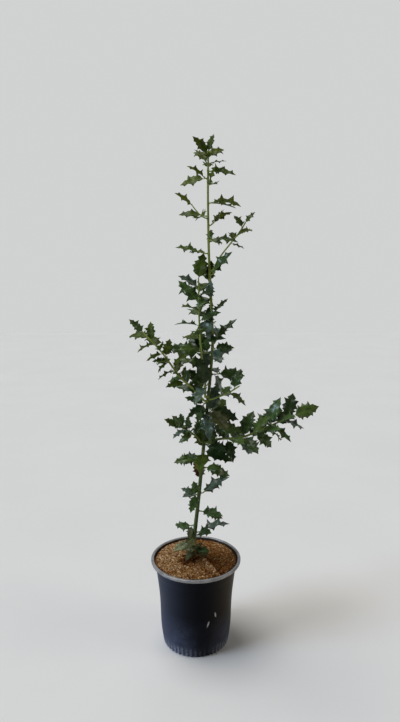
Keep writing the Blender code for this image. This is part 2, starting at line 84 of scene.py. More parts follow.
def doMath(tree, operation, first, second=0.0):
    node = addNode(tree, "ShaderNodeMath", operation=operation)
    plug(tree, node.inputs[0], first)
    plug(tree, node.inputs[1], second)
    return node.outputs[0]


def times(tree, first, *others):
    for value in others:
        first = doMath(tree, "MULTIPLY", first, value)
    return first


def awayFrom(tree, value, place):
    return doMath(tree, "ABSOLUTE", doMath(tree, "SUBTRACT", value, place))


def objectPlace(tree):
    return addNode(tree, "ShaderNodeTexCoord").outputs["Object"]


def splitAxes(tree, vector):
    node = addNode(tree, "ShaderNodeSeparateXYZ")
    plug(tree, node.inputs[0], vector)
    return node.outputs


def mapRange(tree, value, fromLow, fromHigh, toLow=0.0, toHigh=1.0):
    node = addNode(tree, "ShaderNodeMapRange")
    for label, number in (("Value", value), ("From Min", fromLow), ("From Max", fromHigh),
                          ("To Min", toLow), ("To Max", toHigh)):
        plug(tree, node.inputs[label], number)
    return node.outputs["Result"]


def plug(tree, socket, value):
    if isinstance(value, bpy.types.NodeSocket):
        tree.links.new(value, socket)
    elif isinstance(value, (tuple, list)) and len(value) == 3 and socket.type == "RGBA":
        socket.default_value = (*value, 1.0)
    else:
        socket.default_value = value


def noiseOn(tree, place, scale, detail=3.0):
    node = addNode(tree, "ShaderNodeTexNoise")
    for label, value in (("Vector", place), ("Scale", scale), ("Detail", detail), ("Roughness", 0.55)):
        plug(tree, node.inputs[label], value)
    return node.outputs["Fac"]


def makeGrainGroup():
    # Broad mottling and a fine grain, both stretched along the axes as asked
    group, given, wanted = newGroup(
        "surface grain",
        {"Stretch": (1, 1, 1), "Mottle Scale": 60.0, "Grain Scale": 600.0},
        {"Mottle": 0.0, "Grain": 0.0})
    mapping = addNode(group, "ShaderNodeMapping")
    plug(group, mapping.inputs["Vector"], objectPlace(group))
    plug(group, mapping.inputs["Scale"], given["Stretch"])
    place = mapping.outputs["Vector"]
    plug(group, wanted["Mottle"], mapRange(group, noiseOn(group, place, given["Mottle Scale"]), 0.32, 0.68))
    plug(group, wanted["Grain"], noiseOn(group, place, given["Grain Scale"], 2.0))
    return group


def makeDustAndSheenGroup():
    # A second colour that lies thicker towards the low height, broken up by noise: dust and soil, and on the
    # pot also painted sheen and painted glint
    group, given, wanted = newGroup(
        "dust and sheen",
        {"Colour": (0.1, 0.1, 0.1, 1), "Dust Colour": (0.4, 0.4, 0.4, 1), "Low": 0.0, "High": 0.1,
         "Amount": 0.5, "Patch Scale": 25.0, "Least Cover": 0.0},
        {"Colour": (0, 0, 0, 1), "Mask": 0.0})
    place = objectPlace(group)
    height = mapRange(group, splitAxes(group, place)["Z"], given["High"], given["Low"])
    patches = mapRange(group, noiseOn(group, place, given["Patch Scale"], 4.0), 0.36, 0.66,
                       given["Least Cover"], 1.0)
    specks = mapRange(group, noiseOn(group, place, 420.0, 1.0), 0.40, 0.62, 0.55, 1.0)
    mask = times(group, height, patches, specks, given["Amount"])
    plug(group, wanted["Mask"], mask)
    plug(group, wanted["Colour"], mixColours(group, mask, given["Colour"], given["Dust Colour"]))
    return group


grainGroup = makeGrainGroup()
dustAndSheenGroup = makeDustAndSheenGroup()


def placeGroup(tree, group, **values):
    # Underscores in a value's name stand for the spaces in its socket's name
    node = addNode(tree, "ShaderNodeGroup", node_tree=group)
    for label, value in values.items():
        plug(tree, node.inputs[label.replace("_", " ")], value)
    return node.outputs


def newMaterial(name, **plain):
    # Plain numbers and colours go straight on the shader's own sockets
    made = bpy.data.materials.new(name)
    made.use_nodes = True
    shader = made.node_tree.nodes["Principled BSDF"]
    for label, value in {"Metallic": 0.0, **plain}.items():
        plug(made.node_tree, shader.inputs[label.replace("_", " ")], value)
    return made, made.node_tree, shader.inputs


def addBump(tree, shader, height, strength, distance):
    bump = addNode(tree, "ShaderNodeBump")
    bump.inputs["Strength"].default_value = strength
    bump.inputs["Distance"].default_value = distance
    plug(tree, bump.inputs["Height"], height)
    plug(tree, shader["Normal"], bump.outputs["Normal"])


def grainMaterial(name, scales, roughness=None, bump=None, stretch=(1, 1, 1), **plain):
    # Roughness and relief follow the mottling and the grain, and the colour is still to come
    made, tree, shader = newMaterial(name, **plain)
    grain = placeGroup(tree, grainGroup, Stretch=stretch, Mottle_Scale=scales[0], Grain_Scale=scales[1])
    if roughness:
        plug(tree, shader["Roughness"], mapRange(tree, grain["Mottle"], 0.0, 1.0, *roughness))
    if bump:
        addBump(tree, shader, grain["Grain"], *bump)
    return made, tree, shader, grain["Mottle"]


def mottledMaterial(name, dark, pale, scales, roughness, bump=None, **plain):
    made, tree, shader, mottle = grainMaterial(name, scales, roughness, bump, **plain)
    plug(tree, shader["Base Color"], mixColours(tree, mottle, dark, pale))
    return made


def shade(colour, share):
    return tuple(value * share for value in colour)


# Plain geometry helpers

def smoothPath(points, steps):
    # Points at even steps along a smooth curve that runs through the given points
    ends = [2 * points[0] - points[1], *points, 2 * points[-1] - points[-2]]
    fine = []
    for a, b, c, d in zip(ends, ends[1:], ends[2:], ends[3:]):
        for number in range(curveSteps):
            t = number / curveSteps
            fine.append(0.5 * (2 * b + (c - a) * t + (2 * a - 5 * b + 4 * c - d) * t ** 2
                               + (3 * b - a - 3 * c + d) * t ** 3))
    fine.append(points[-1])
    return evenSteps(fine, steps)


def evenSteps(fine, steps):
    lengths = [0.0]
    for a, b in zip(fine, fine[1:]):
        lengths.append(lengths[-1] + (b - a).length)
    path = []
    index = 0
    for number in range(steps + 1):
        wanted = lengths[-1] * number / steps
        while index < len(fine) - 2 and lengths[index + 1] < wanted:
            index += 1
        share = (wanted - lengths[index]) / (lengths[index + 1] - lengths[index])
        path.append(fine[index].lerp(fine[index + 1], share))
    return path


def pointOn(path, share):
    # The point and the direction at a share of the path's length
    place = min(max(share, 0.0), 1.0) * (len(path) - 1)
    index = min(int(place), len(path) - 2)
    ahead = (path[index + 1] - path[index]).normalized()
    return path[index].lerp(path[index + 1], place - index), ahead


def pathLength(path):
    return sum((b - a).length for a, b in zip(path, path[1:]))


def hump(distance, width):
    # 1 in the middle, and falling off softly
    return math.exp(-(distance / width) ** 2)


def taper(first, last, count):
    return [first + (last - first) * number / (count - 1) for number in range(count)]


def ringFrames(path):
    # For each point of a path, two directions square to it that don't twist along the way
    ahead = (path[1] - path[0]).normalized()
    right = ahead.orthogonal().normalized()
    frames = []
    for index in range(len(path)):
        before, after = path[max(index - 1, 0)], path[min(index + 1, len(path) - 1)]
        ahead = (after - before).normalized()
        right = (right - right.dot(ahead) * ahead).normalized()
        frames.append((right, ahead.cross(right)))
    return frames


def addLimb(shape, path, radiusAt, sides):
    # A closed cylinder whose rings are moved on to the path, radiusAt gives the radius by ring and angle
    before = len(shape.verts)
    made = bmesh.ops.create_cone(shape, cap_ends=True, segments=sides, radius1=1, radius2=1, depth=1)["verts"]
    lengthwise = {e for v in made for e in v.link_edges if abs(e.verts[0].co.z - e.verts[1].co.z) > 0.5}
    bmesh.ops.subdivide_edges(shape, edges=list(lengthwise), cuts=len(path) - 2, use_grid_fill=False)
    rings = shape.verts[before:]
    frames = ringFrames(path)
    for vertex in rings:
        index = round((vertex.co.z + 0.5) * (len(path) - 1))
        angle = math.atan2(vertex.co.y, vertex.co.x)
        right, back = frames[index]
        out = right * math.cos(angle) + back * math.sin(angle)
        vertex.co = path[index] + out * radiusAt(index, angle)
    for face in {face for vertex in rings for face in vertex.link_faces}:
        face.smooth = len(face.verts) == 4


def spinProfile(points, steps):
    # Spins a line of points round the vertical axis
    shape = bmesh.new()
    line = [shape.verts.new(point) for point in points]
    edges = [shape.edges.new(pair) for pair in zip(line, line[1:])]
    bmesh.ops.spin(shape, geom=line + edges, cent=(0, 0, 0), axis=(0, 0, 1), angle=math.tau, steps=steps,
                   use_merge=True, use_duplicate=False)
    bmesh.ops.remove_doubles(shape, verts=shape.verts, dist=weld)
    return shape


def onProfile(radius, height):
    return Vector((radius, 0, height))


def addObject(name, data):
    made = bpy.data.objects.new(name, data)
    bpy.context.scene.collection.objects.link(made)
    return made


def meshFrom(name, shape):
    mesh = bpy.data.meshes.new(name)
    shape.to_mesh(mesh)
    shape.free()
    return mesh


def addPiece(name, shape, materials, nodes=()):
    # Turns a bmesh into a piece of the object that rides with the pot and plant
    return addMeshPiece(name, meshFrom(name, shape), materials, nodes)


def addLimbs(name, shape, made, nodes=()):
    # Turns closed limbs of one material into a piece
    bmesh.ops.recalc_face_normals(shape, faces=shape.faces)
    addPiece(name, shape, [made], nodes)


def addMeshPiece(name, mesh, materials, nodes=()):
    for made in materials:
        mesh.materials.append(made)
    piece = addObject(name, mesh)
    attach(piece, "root")
    if nodes:
        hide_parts(*nodes)
    return piece


# Pot

potForm = {
    "height": 0.253,
    "rimRadius": 0.130,
    "rimInnerRadius": 0.1215,
    "lipHeight": 0.0080,
    "lipRound": 0.0024,
    "wall": 0.0022,
    # radius and height of the wall, from the neck under the rim down to the underside
    "wallPoints": ((0.1170, 0.233), (0.1070, 0.145), (0.1035, 0.060), (0.1005, 0.028), (0.0980, 0.010)),
    "baseRadius": 0.0935,
    "neckStep": 0.0009,     # the fine step in the wall, this far below the neck
    "neckDepth": 0.014,
    # further out than the edge of the underside, and height, of the rounded foot
    "footPoints": ((0.0030, 0.0040), (0.0010, 0.0008), (0.0, 0.0)),
    "flutes": 48,
    "fluteDepth": 0.0034,
    "fluteTop": 0.034,
    "underRecess": 0.0016,
    "turnSteps": 288,
}
potColours = {
    "wall": (0.0007, 0.0009, 0.0020),
    "wallWorn": (0.0034, 0.0042, 0.0078),
    "rim": (0.152, 0.148, 0.146),
    "rimWorn": (0.262, 0.256, 0.250),
    # painted sheen for the sides: cool on the left, warm on the right
    "paintedCoolSheen": (0.028, 0.035, 0.057),
    "paintedWarmSheen": (0.036, 0.026, 0.014),
    # bluish dust on the lower wall, partly real dust and partly painted sheen
    "dust": (0.090, 0.106, 0.165),
    # pale flute crests, partly wear and partly painted glint
    "footWearAndGlint": (0.420, 0.450, 0.520),
    "scuff": (0.42, 0.43, 0.44),
    "inside": (0.016, 0.012, 0.008),
    "insideWorn": (0.034, 0.025, 0.017),
}
potWear = {
    "sheenFront": 0.011,     # across the front, where the painted sheen leaves the wall dark
    "sheenReach": 0.100,     # the painted sheen is full this far off
    "sheenPower": 1.9,
    "sheenTurns": (-0.02, 0.05),     # from where to where, across, the painted sheen turns from cool grey to warm brown
    # the dust and the pale flute crests thin out towards this place on the front: partly painted sheen and
    # glint
    "dustAndSheenFront": 0.024,
    # from where to where off that place, and how much lies there
    "dustAndSheenAside": (0.012, 0.070, 0.10, 1.0),
    "wearAndGlintAside": (0.012, 0.060, 0.15, 1.0),
    "dustAndSheenHeights": (0.004, 0.125),
    "wearAndGlintHeights": (0.004, 0.034),
    # place, lean in degrees and half size of each scuff
    "scuffs": (((0.0550, -0.0908, 0.127), -8, (0.0026, 0.008, 0.0100)),
               ((0.0345, -0.0990, 0.104), 18, (0.0027, 0.008, 0.0100))),
}


def potWallMaterial(colours, wear):
    # Anthracite plastic with a dusty foot and two small scuffs on its front, and painted sheen on its sides:
    # cool grey on the left, warm brown on the right, with the front left dark
    made, tree, shader, mottle = grainMaterial("pot wall plastic", (34.0, 900.0), bump=(0.10, 0.0004),
                                               stretch=(1, 1, 0.35), Specular_IOR_Level=0.06)
    bareWall = mixColours(tree, times(tree, mottle, 0.55), colours["wall"], colours["wallWorn"])
    # A painted sheen lies on the sides, cool grey on the left and warm brown on the right, and leaves the
    # front dark
    axes = splitAxes(tree, objectPlace(tree))
    sideSheen = mixColours(tree, mapRange(tree, axes["X"], *wear["sheenTurns"]),
                      colours["paintedCoolSheen"], colours["paintedWarmSheen"])
    off = awayFrom(tree, axes["X"], wear["sheenFront"])
    sheenShare = doMath(tree, "POWER", mapRange(tree, off, 0.0, wear["sheenReach"]), wear["sheenPower"])
    # More dust lies on the lower half; it is bluish and thin on the front, so it is partly painted sheen too
    aside = awayFrom(tree, axes["X"], wear["dustAndSheenFront"])
    low, high = wear["dustAndSheenHeights"]
    dust = placeGroup(tree, dustAndSheenGroup, Colour=mixColours(tree, sheenShare, bareWall, sideSheen),
                      Dust_Colour=colours["dust"], Low=low, High=high,
                      Amount=mapRange(tree, aside, *wear["dustAndSheenAside"]), Patch_Scale=42.0, Least_Cover=0.55)
    # The crests of the fluted foot are pale: partly wear and partly a painted glint, weaker on the front
    turn = doMath(tree, "ARCTAN2", axes["Y"], axes["X"])
    crest = mapRange(tree, doMath(tree, "COSINE", times(tree, turn, potForm["flutes"])), 0.1, 0.9, 0.35, 1.0)
    wornAndGlinting = times(tree, crest, mapRange(tree, aside, *wear["wearAndGlintAside"]))
    low, high = wear["wearAndGlintHeights"]
    foot = placeGroup(tree, dustAndSheenGroup, Colour=dust["Colour"], Dust_Colour=colours["footWearAndGlint"],
                      Low=low, High=high, Amount=wornAndGlinting, Patch_Scale=160.0, Least_Cover=0.30)
    scuffs = 0.0
    for place, lean, size in wear["scuffs"]:
        scuffs = scuffMask(tree, scuffs, place, lean, size)
    plug(tree, shader["Base Color"], mixColours(tree, scuffs, foot["Colour"], colours["scuff"]))
    rough = mapRange(tree, dust["Mask"], 0.0, 0.7, 0.44, 0.78)
    plug(tree, shader["Roughness"], doMath(tree, "ADD", rough, times(tree, scuffs, 0.2)))
    return made


def scuffMask(tree, others, place, lean, size):
    # A ragged soft spot on the surface round a point, joined to the spots made before it
    mapping = addNode(tree, "ShaderNodeMapping", vector_type="TEXTURE")
    plug(tree, mapping.inputs["Vector"], objectPlace(tree))
    for label, value in (("Location", place), ("Rotation", (0, math.radians(lean), 0)), ("Scale", size)):
        mapping.inputs[label].default_value = value
    spot = mapping.outputs["Vector"]
    distance = addNode(tree, "ShaderNodeVectorMath", operation="LENGTH")
    plug(tree, distance.inputs[0], spot)
    ragged = doMath(tree, "ADD", distance.outputs["Value"],
                    mapRange(tree, noiseOn(tree, spot, 2.6, 4.0), 0.3, 0.7, -0.45, 0.45))
    return doMath(tree, "MAXIMUM", others, mapRange(tree, ragged, 1.0, 0.55, 0.0, 0.85))


def potMaterials(colours, wear):
    # The wall, the lip that is paler than the wall, and the inside
    lip = mottledMaterial("pot rim plastic", colours["rim"], colours["rimWorn"], (48.0, 1100.0), (0.19, 0.25),
                          (0.10, 0.0003), Specular_IOR_Level=0.8)
    inside = mottledMaterial("pot inside plastic", colours["inside"], colours["insideWorn"], (60.0, 700.0),
                             (0.6, 0.85), (0.2, 0.0004), Specular_IOR_Level=0.10)
    return [potWallMaterial(colours, wear), lip, inside]


def potOutside(form):
    # From the rim's bottom edge down the smooth wall to the edge of the underside
    wall = smoothPath([onProfile(*point) for point in form["wallPoints"]], 34)
    for point in wall:
        if point.z < form["wallPoints"][0][1] - form["neckDepth"]:
            point.x -= form["neckStep"]
    return wall + [onProfile(form["baseRadius"] + out, height) for out, height in form["footPoints"]]


def potProfile(form):
    # One line from the axis on the inside floor, over the rim and down to the axis on the underside
    rim, inner, top, base = form["rimRadius"], form["rimInnerRadius"], form["height"], form["baseRadius"]
    wall, soft, recess = form["wall"], form["lipRound"], form["underRecess"]
    lip = top - form["lipHeight"]
    outside = potOutside(form)
    inside = [onProfile(point.x - wall, max(point.z, wall)) for point in outside[::4]]
    inside = [onProfile(0, wall), *reversed(inside), onProfile(inner - wall, lip + wall)]
    over = [(inner, top - soft * 0.7), (inner + soft * 0.35, top - soft * 0.15), (inner + soft, top),
            ((inner + rim) / 2, top), (rim - soft, top)]
    for number in range(1, 6):
        turn = math.radians(90 - 18 * number)
        over.append((rim - soft + soft * math.cos(turn), top - soft + soft * math.sin(turn)))
    over += [(rim, top - form["lipHeight"] * 0.5), (rim - 0.0004, lip + 0.0010), (rim - 0.0014, lip),
             (inner + 0.0006, lip), (inner - 0.0016, lip - 0.0016)]
    under = [(base - 0.006, 0), (base - 0.008, recess), (0.045, recess), (0.043, 0.0004), (0.030, 0.0004),
             (0.028, recess), (0, recess)]
    return inside + [onProfile(*point) for point in over] + outside + [onProfile(*point) for point in under]


def makePot(form):
    shape = spinProfile(potProfile(form), form["turnSteps"])
    for vertex in shape.verts:
        radius = math.hypot(vertex.co.x, vertex.co.y)
        if vertex.co.z > form["fluteTop"] or radius < form["baseRadius"] - 0.0005:
            continue
        angle = math.atan2(vertex.co.y, vertex.co.x)
        wave = 0.5 - 0.5 * math.cos(form["flutes"] * angle)
        fade = 1 - (vertex.co.z / form["fluteTop"]) ** 1.6
        pressed = form["fluteDepth"] * wave ** 1.5 * fade
        vertex.co.x -= pressed * math.cos(angle)
        vertex.co.y -= pressed * math.sin(angle)
    bmesh.ops.recalc_face_normals(shape, faces=shape.faces)
    lipBottom = form["height"] - form["lipHeight"]
    for face in shape.faces:
        middle = face.calc_center_median()
        radius = math.hypot(middle.x, middle.y)
        inward = face.normal.x * middle.x + face.normal.y * middle.y < -1e-6
        onLip = radius > form["rimInnerRadius"] - 0.0003 and middle.z > lipBottom - 0.0002
        inside = inward and middle.z > form["wall"] or radius < form["baseRadius"] and face.normal.z > 0.5
        face.material_index = 1 if onLip else 2 if inside else 0
        face.smooth = True
    addPiece("pot_shell", shape, potMaterials(potColours, potWear), ["pot"])


makePot(potForm)
print("pot turned")


# Mulch in the pot

bedForm = {
    "edgeRadius": 0.1177,
    # radius and height of the top, from the trunk out to the pot's wall
    "topPoints": ((0.0, 0.2580), (0.022, 0.2578), (0.060, 0.2542), (0.095, 0.2492), (0.1177, 0.2450)),
    # radius and height of the side, along the pot's wall and in over its floor
    "sidePoints": ((0.1167, 0.2405), (0.1140, 0.2330), (0.1036, 0.1450), (0.1002, 0.0600), (0.0970, 0.0280),
                   (0.0944, 0.0100), (0.0900, 0.0026), (0.0, 0.0026)),
    "ringSteps": 60,
    "turnSteps": 180,
    # a low ridge from the back past the trunk's foot to the front right, with the bed lower beyond it
    "ridge": ((-0.022, 0.105), (-0.018, 0.030), (-0.004, 0.004), (0.016, -0.002), (0.040, -0.045),
              (0.065, -0.088), (0.072, -0.102)),
    "ridgeHeight": 0.0022,
    "ridgeWidth": 0.011,
    "farDrop": 0.0034,
    "farStart": 0.016,
    "farFade": 0.06,
    "edgeFade": 0.02,       # ridge and drop end this near to the wall and to the trunk
    "lumpFade": 0.01,
    "lumps": ((0.0016, 42, 0), (0.0008, 130, 3)),   # height, fineness and layer of noise
    "sideTop": 0.236,       # below this the bed lies against the wall and is painted dark as shade
}
# How dark the mulch is painted, from 0, pale, to 1, red-brown: mostly painted light and shade, paler on the
# lit left and along the ridge's crest, painted shadow beyond the ridge; random patches are its own tone
bedToneAndShade = {
    "near": 0.45,           # on the near left side, rising to the right: the lit side painted paler
    "slope": 1.6,
    "patches": 0.10,
    "crest": 0.24,          # a painted highlight along the ridge's crest, this far to its left
    "crestPlace": 0.004,
    "crestWidth": 0.006,
    "far": 0.44,            # painted shadow beyond the ridge, and darker still just behind it
    "lee": 0.46,
    "leeWidth": 0.026,
    "foot": 1.15,           # darker round the trunk's foot
    "footPlace": (-0.017, -0.026),
    "footWidth": 0.036,
    "gapShade": 0.36,     # painted shade: the bed between the chips is darker than they are
}
chipForm = {
    "count": 9000,
    "length": (0.0028, 0.0100),
    "spread": 0.23,         # how far chips stray from the tone of their place
    "farSpread": 0.19,
    "reach": 0.1170,
    "trunkPlace": (-0.010, 0.0),    # no chips where the trunk stands
    "trunkRadius": 0.0085,
    "seed": 31,
    "tilts": (0.30, 0.4),   # how far chips tilt, in radians
    "lift": (0.0001, 0.0013),
    "mottle": 0.40,         # the darker mottling of a chip
    # colour of each tone, and how dark a place it belongs to
    "tones": {
        "straw": ((0.74, 0.500, 0.275), 0.03),
        "tan": ((0.43, 0.250, 0.108), 0.28),
        "ochre": ((0.310, 0.132, 0.030), 0.50),
        "russet": ((0.205, 0.064, 0.010), 0.74),
        "umber": ((0.058, 0.017, 0.004), 0.98),
    },
    # width, thickness and bend of a stubby chip, a curved splinter and a flat flake that are one long
    "slivers": ((0.34, 0.20, 0.03), (0.17, 0.12, 0.12), (0.62, 0.10, 0.06)),
}


def ridgeSide(x, y):
    # Distance to the ridge line, above nought on its far right side
    here = Vector((x, y))
    best = None
    points = [Vector(point) for point in bedForm["ridge"]]
    for a, b in zip(points, points[1:]):
        along = b - a
        share = min(max((here - a).dot(along) / along.length_squared, 0.0), 1.0)
        gap = here - (a + along * share)
        if best is None or gap.length < abs(best):
            side = 1 if along.x * gap.y - along.y * gap.x > 0 else -1
            best = gap.length * side
    return best


def bedHeight(x, y):
    form = bedForm
    radius = math.hypot(x, y)
    height = float(np.interp(radius, *zip(*form["topPoints"])))
    side = ridgeSide(x, y)
    toWall = max(0.0, form["edgeRadius"] - radius)
    fade = min(1.0, toWall / form["edgeFade"]) * min(1.0, radius / form["edgeFade"])
    ridge = form["ridgeHeight"] * hump(side, form["ridgeWidth"])
    beyond = max(0.0, side)
    drop = form["farDrop"] * min(1.0, beyond / form["farStart"]) * math.exp(-beyond / form["farFade"])
    lumps = sum(rise * noise.noise(Vector((x, y, layer)) * fine) for rise, fine, layer in form["lumps"])
    return height + (ridge - drop) * fade + lumps * min(1.0, radius / form["lumpFade"])


def bedDarkness(x, y):
    # Painted shadow beyond the ridge, painted light on the near left and the crest, and random patches of the
    # mulch's own tone
    side = ridgeSide(x, y)
    if side > 0:
        darkness = bedToneAndShade["far"] + bedToneAndShade["lee"] * math.exp(-side / bedToneAndShade["leeWidth"])
    else:
        patches = bedToneAndShade["patches"] * noise.noise(Vector((x, y, 7)) * 30)
        crest = hump(side + bedToneAndShade["crestPlace"], bedToneAndShade["crestWidth"])
        darkness = bedToneAndShade["near"] + bedToneAndShade["slope"] * x + patches - bedToneAndShade["crest"] * crest
    foot = bedToneAndShade["foot"] * hump(math.dist((x, y), bedToneAndShade["footPlace"]), bedToneAndShade["footWidth"])
    return min(1.0, max(darkness, foot))


def makeBed(form, materials):
    # The bed fills the pot, its top is worked up into lumps, and its faces take the nearest chip colour,
    # darker by the painted shade between the chips, and umber as painted shade against the wall
    line = evenSteps([onProfile(point[0], 0) for point in form["topPoints"]], form["ringSteps"])
    for point in line:
        point.z = 1.0       # marks the top until its height is worked out
    shape = spinProfile(line + [onProfile(*point) for point in form["sidePoints"]], form["turnSteps"])
    for vertex in shape.verts:
        if vertex.co.z > 0.5:
            vertex.co.z = bedHeight(vertex.co.x, vertex.co.y)
    bmesh.ops.recalc_face_normals(shape, faces=shape.faces)
    order = list(chipForm["tones"])
    for face in shape.faces:
        middle = face.calc_center_median()
        darkness = 1.0
        if middle.z > form["sideTop"]:
            darkness = bedDarkness(middle.x, middle.y) + bedToneAndShade["gapShade"]
        face.material_index = order.index(nearestTone(darkness))
        face.smooth = True
    addPiece("mulch_bed", shape, materials, ["growing_medium"])


def nearestTone(darkness):
    tones = chipForm["tones"]
    return min(tones, key=lambda name: abs(tones[name][1] - darkness))


def chipTemplates(form):
    # The points and faces of each kind of sliver, one long, for copying
    templates = []
    for width, thickness, curve in form["slivers"]:
        shape = bmesh.new()
        bmesh.ops.create_cube(shape, size=1.0)
        lengthwise = [e for e in shape.edges if abs(e.verts[0].co.x - e.verts[1].co.x) > 0.5]
        bmesh.ops.subdivide_edges(shape, edges=lengthwise, cuts=1)
        for vertex in shape.verts:
            narrow = 1.0 - 0.9 * abs(vertex.co.x)
            lift = curve * (1 - 4 * vertex.co.x ** 2)
            vertex.co = (vertex.co.x, vertex.co.y * width * narrow, vertex.co.z * thickness * narrow + lift)
        templates.append((np.array([vertex.co for vertex in shape.verts]),
                          np.array([[vertex.index for vertex in face.verts] for face in shape.faces])))
        shape.free()
    return templates


def scatterChips(form, materials):
    # Every chip lies on the bed, a little tilted, and is dealt to the tone of its place, so it carries that
    # place's painted light and shade
    chance = random.Random(form["seed"])
    templates = chipTemplates(form)
    heaps = {name: [] for name in form["tones"]}
    while sum(len(heap) for heap in heaps.values()) < form["count"]:
        size = chance.uniform(*form["length"])
        radius = (form["reach"] - size / 2) * math.sqrt(chance.random())
        angle = chance.uniform(0, math.tau)
        x, y = radius * math.cos(angle), radius * math.sin(angle)
        if math.dist((x, y), form["trunkPlace"]) < form["trunkRadius"]:
            continue
        spread = form["spread"] if ridgeSide(x, y) < 0 else form["farSpread"]
        name = nearestTone(bedDarkness(x, y) + chance.gauss(0, spread))
        turn = Matrix.Rotation(chance.uniform(0, math.tau), 3, "Z")
        for axis, tilt in zip("YX", form["tilts"]):
            turn = turn @ Matrix.Rotation(chance.gauss(0, tilt), 3, axis)
        place = (x, y, bedHeight(x, y) + chance.uniform(*form["lift"]))
        heaps[name].append((chance.randrange(len(templates)), np.array(turn) * size, place))
    for name, made in zip(heaps, materials):
        points, faces, start = [], [], 0
        for kind, turned, place in heaps[name]:
            chipPoints, chipFaces = templates[kind]
            points.append(chipPoints @ turned.T + place)
            faces.append(chipFaces + start)
            start += len(chipPoints)
        mesh = bpy.data.meshes.new(f"mulch_chips_{name}")
        mesh.from_pydata(np.concatenate(points).tolist(), [], np.concatenate(faces).tolist())
        addMeshPiece(f"mulch_chips_{name}", mesh, [made])


mulchMaterials = []
for name, (colour, darkness) in chipForm["tones"].items():
    dark = shade(colour, chipForm["mottle"])
    mulchMaterials.append(mottledMaterial(f"mulch {name}", dark, colour, (210.0, 1500.0), (0.80, 0.95),
                                          (0.5, 0.0006), Specular_IOR_Level=0.10))
makeBed(bedForm, mulchMaterials)
scatterChips(chipForm, mulchMaterials)
print("mulch laid:", chipForm["count"], "chips")


# Growth: the same rule that the parts follow

clearance = 0.0003
groundHeight = 0.2580
trunkForm = {
    "axis": ((-0.010, 0.000, groundHeight + clearance), (-0.007, 0.000, 0.290), (0.009, 0.003, 0.442),
             (0.027, 0.006, 0.637), (0.045, 0.004, 0.845), (0.045, 0.000, 0.935), (0.036, -0.003, 1.110),
             (0.033, -0.001, 1.250), (0.033, 0.000, 1.335)),
    "radius": 0.0058,
    "tipRadius": 0.0026,
    "flare": 0.0034,
    "flareHeight": 0.012,
    "steps": 30,
}
boughForms = {
    "second_stem": {
        "height": 0.728,
        "through": ((0.026, -0.005, 0.775), (0.016, -0.008, 0.850),
                    (0.010, -0.008, 0.940), (0.008, -0.007, 1.054)),
        "bare": 0.40, "radii": (0.0032, 0.0019), "leaves": 15, "leafSize": 0.078, "seed": 6541,
    },
    "left_bough": {
        "height": 0.716,
        "through": ((-0.003, -0.012, 0.751), (-0.043, -0.026, 0.791),
                    (-0.089, -0.035, 0.857), (-0.140, -0.040, 0.914)),
        "bare": 0.24, "radii": (0.0032, 0.0018), "leaves": 17, "leafSize": 0.064, "seed": 4863,
    },
    "right_bough": {
        "height": 0.598,
        "through": ((0.068, -0.010, 0.611), (0.127, -0.022, 0.619),
                    (0.190, -0.030, 0.648), (0.268, -0.034, 0.684)),
        "bare": 0.20, "radii": (0.0036, 0.0019), "leaves": 19, "leafSize": 0.079, "seed": 7288,
    },
    "top_right_bough": {
        "height": 1.076,
        "through": ((0.064, 0.004, 1.109), (0.093, 0.008, 1.146),
                    (0.117, 0.010, 1.176), (0.134, 0.010, 1.203)),
        "bare": 0.55, "radii": (0.0024, 0.0017), "leaves": 6, "leafSize": 0.046, "seed": 8529,
    },
    "low_left_bough": {
        "height": 0.598,
        "through": ((0.004, -0.008, 0.616), (-0.018, -0.016, 0.634),
                    (-0.044, -0.024, 0.651)),
        "bare": 0.35, "radii": (0.0027, 0.0019), "leaves": 7, "leafSize": 0.055, "seed": 2253,
    },
    "middle_right_bough": {
        "height": 0.722,
        "through": ((0.066, -0.012, 0.733), (0.092, -0.020, 0.746),
                    (0.119, -0.028, 0.765)),
        "bare": 0.35, "radii": (0.0027, 0.0019), "leaves": 5, "leafSize": 0.064, "seed": 9336,
    },
}
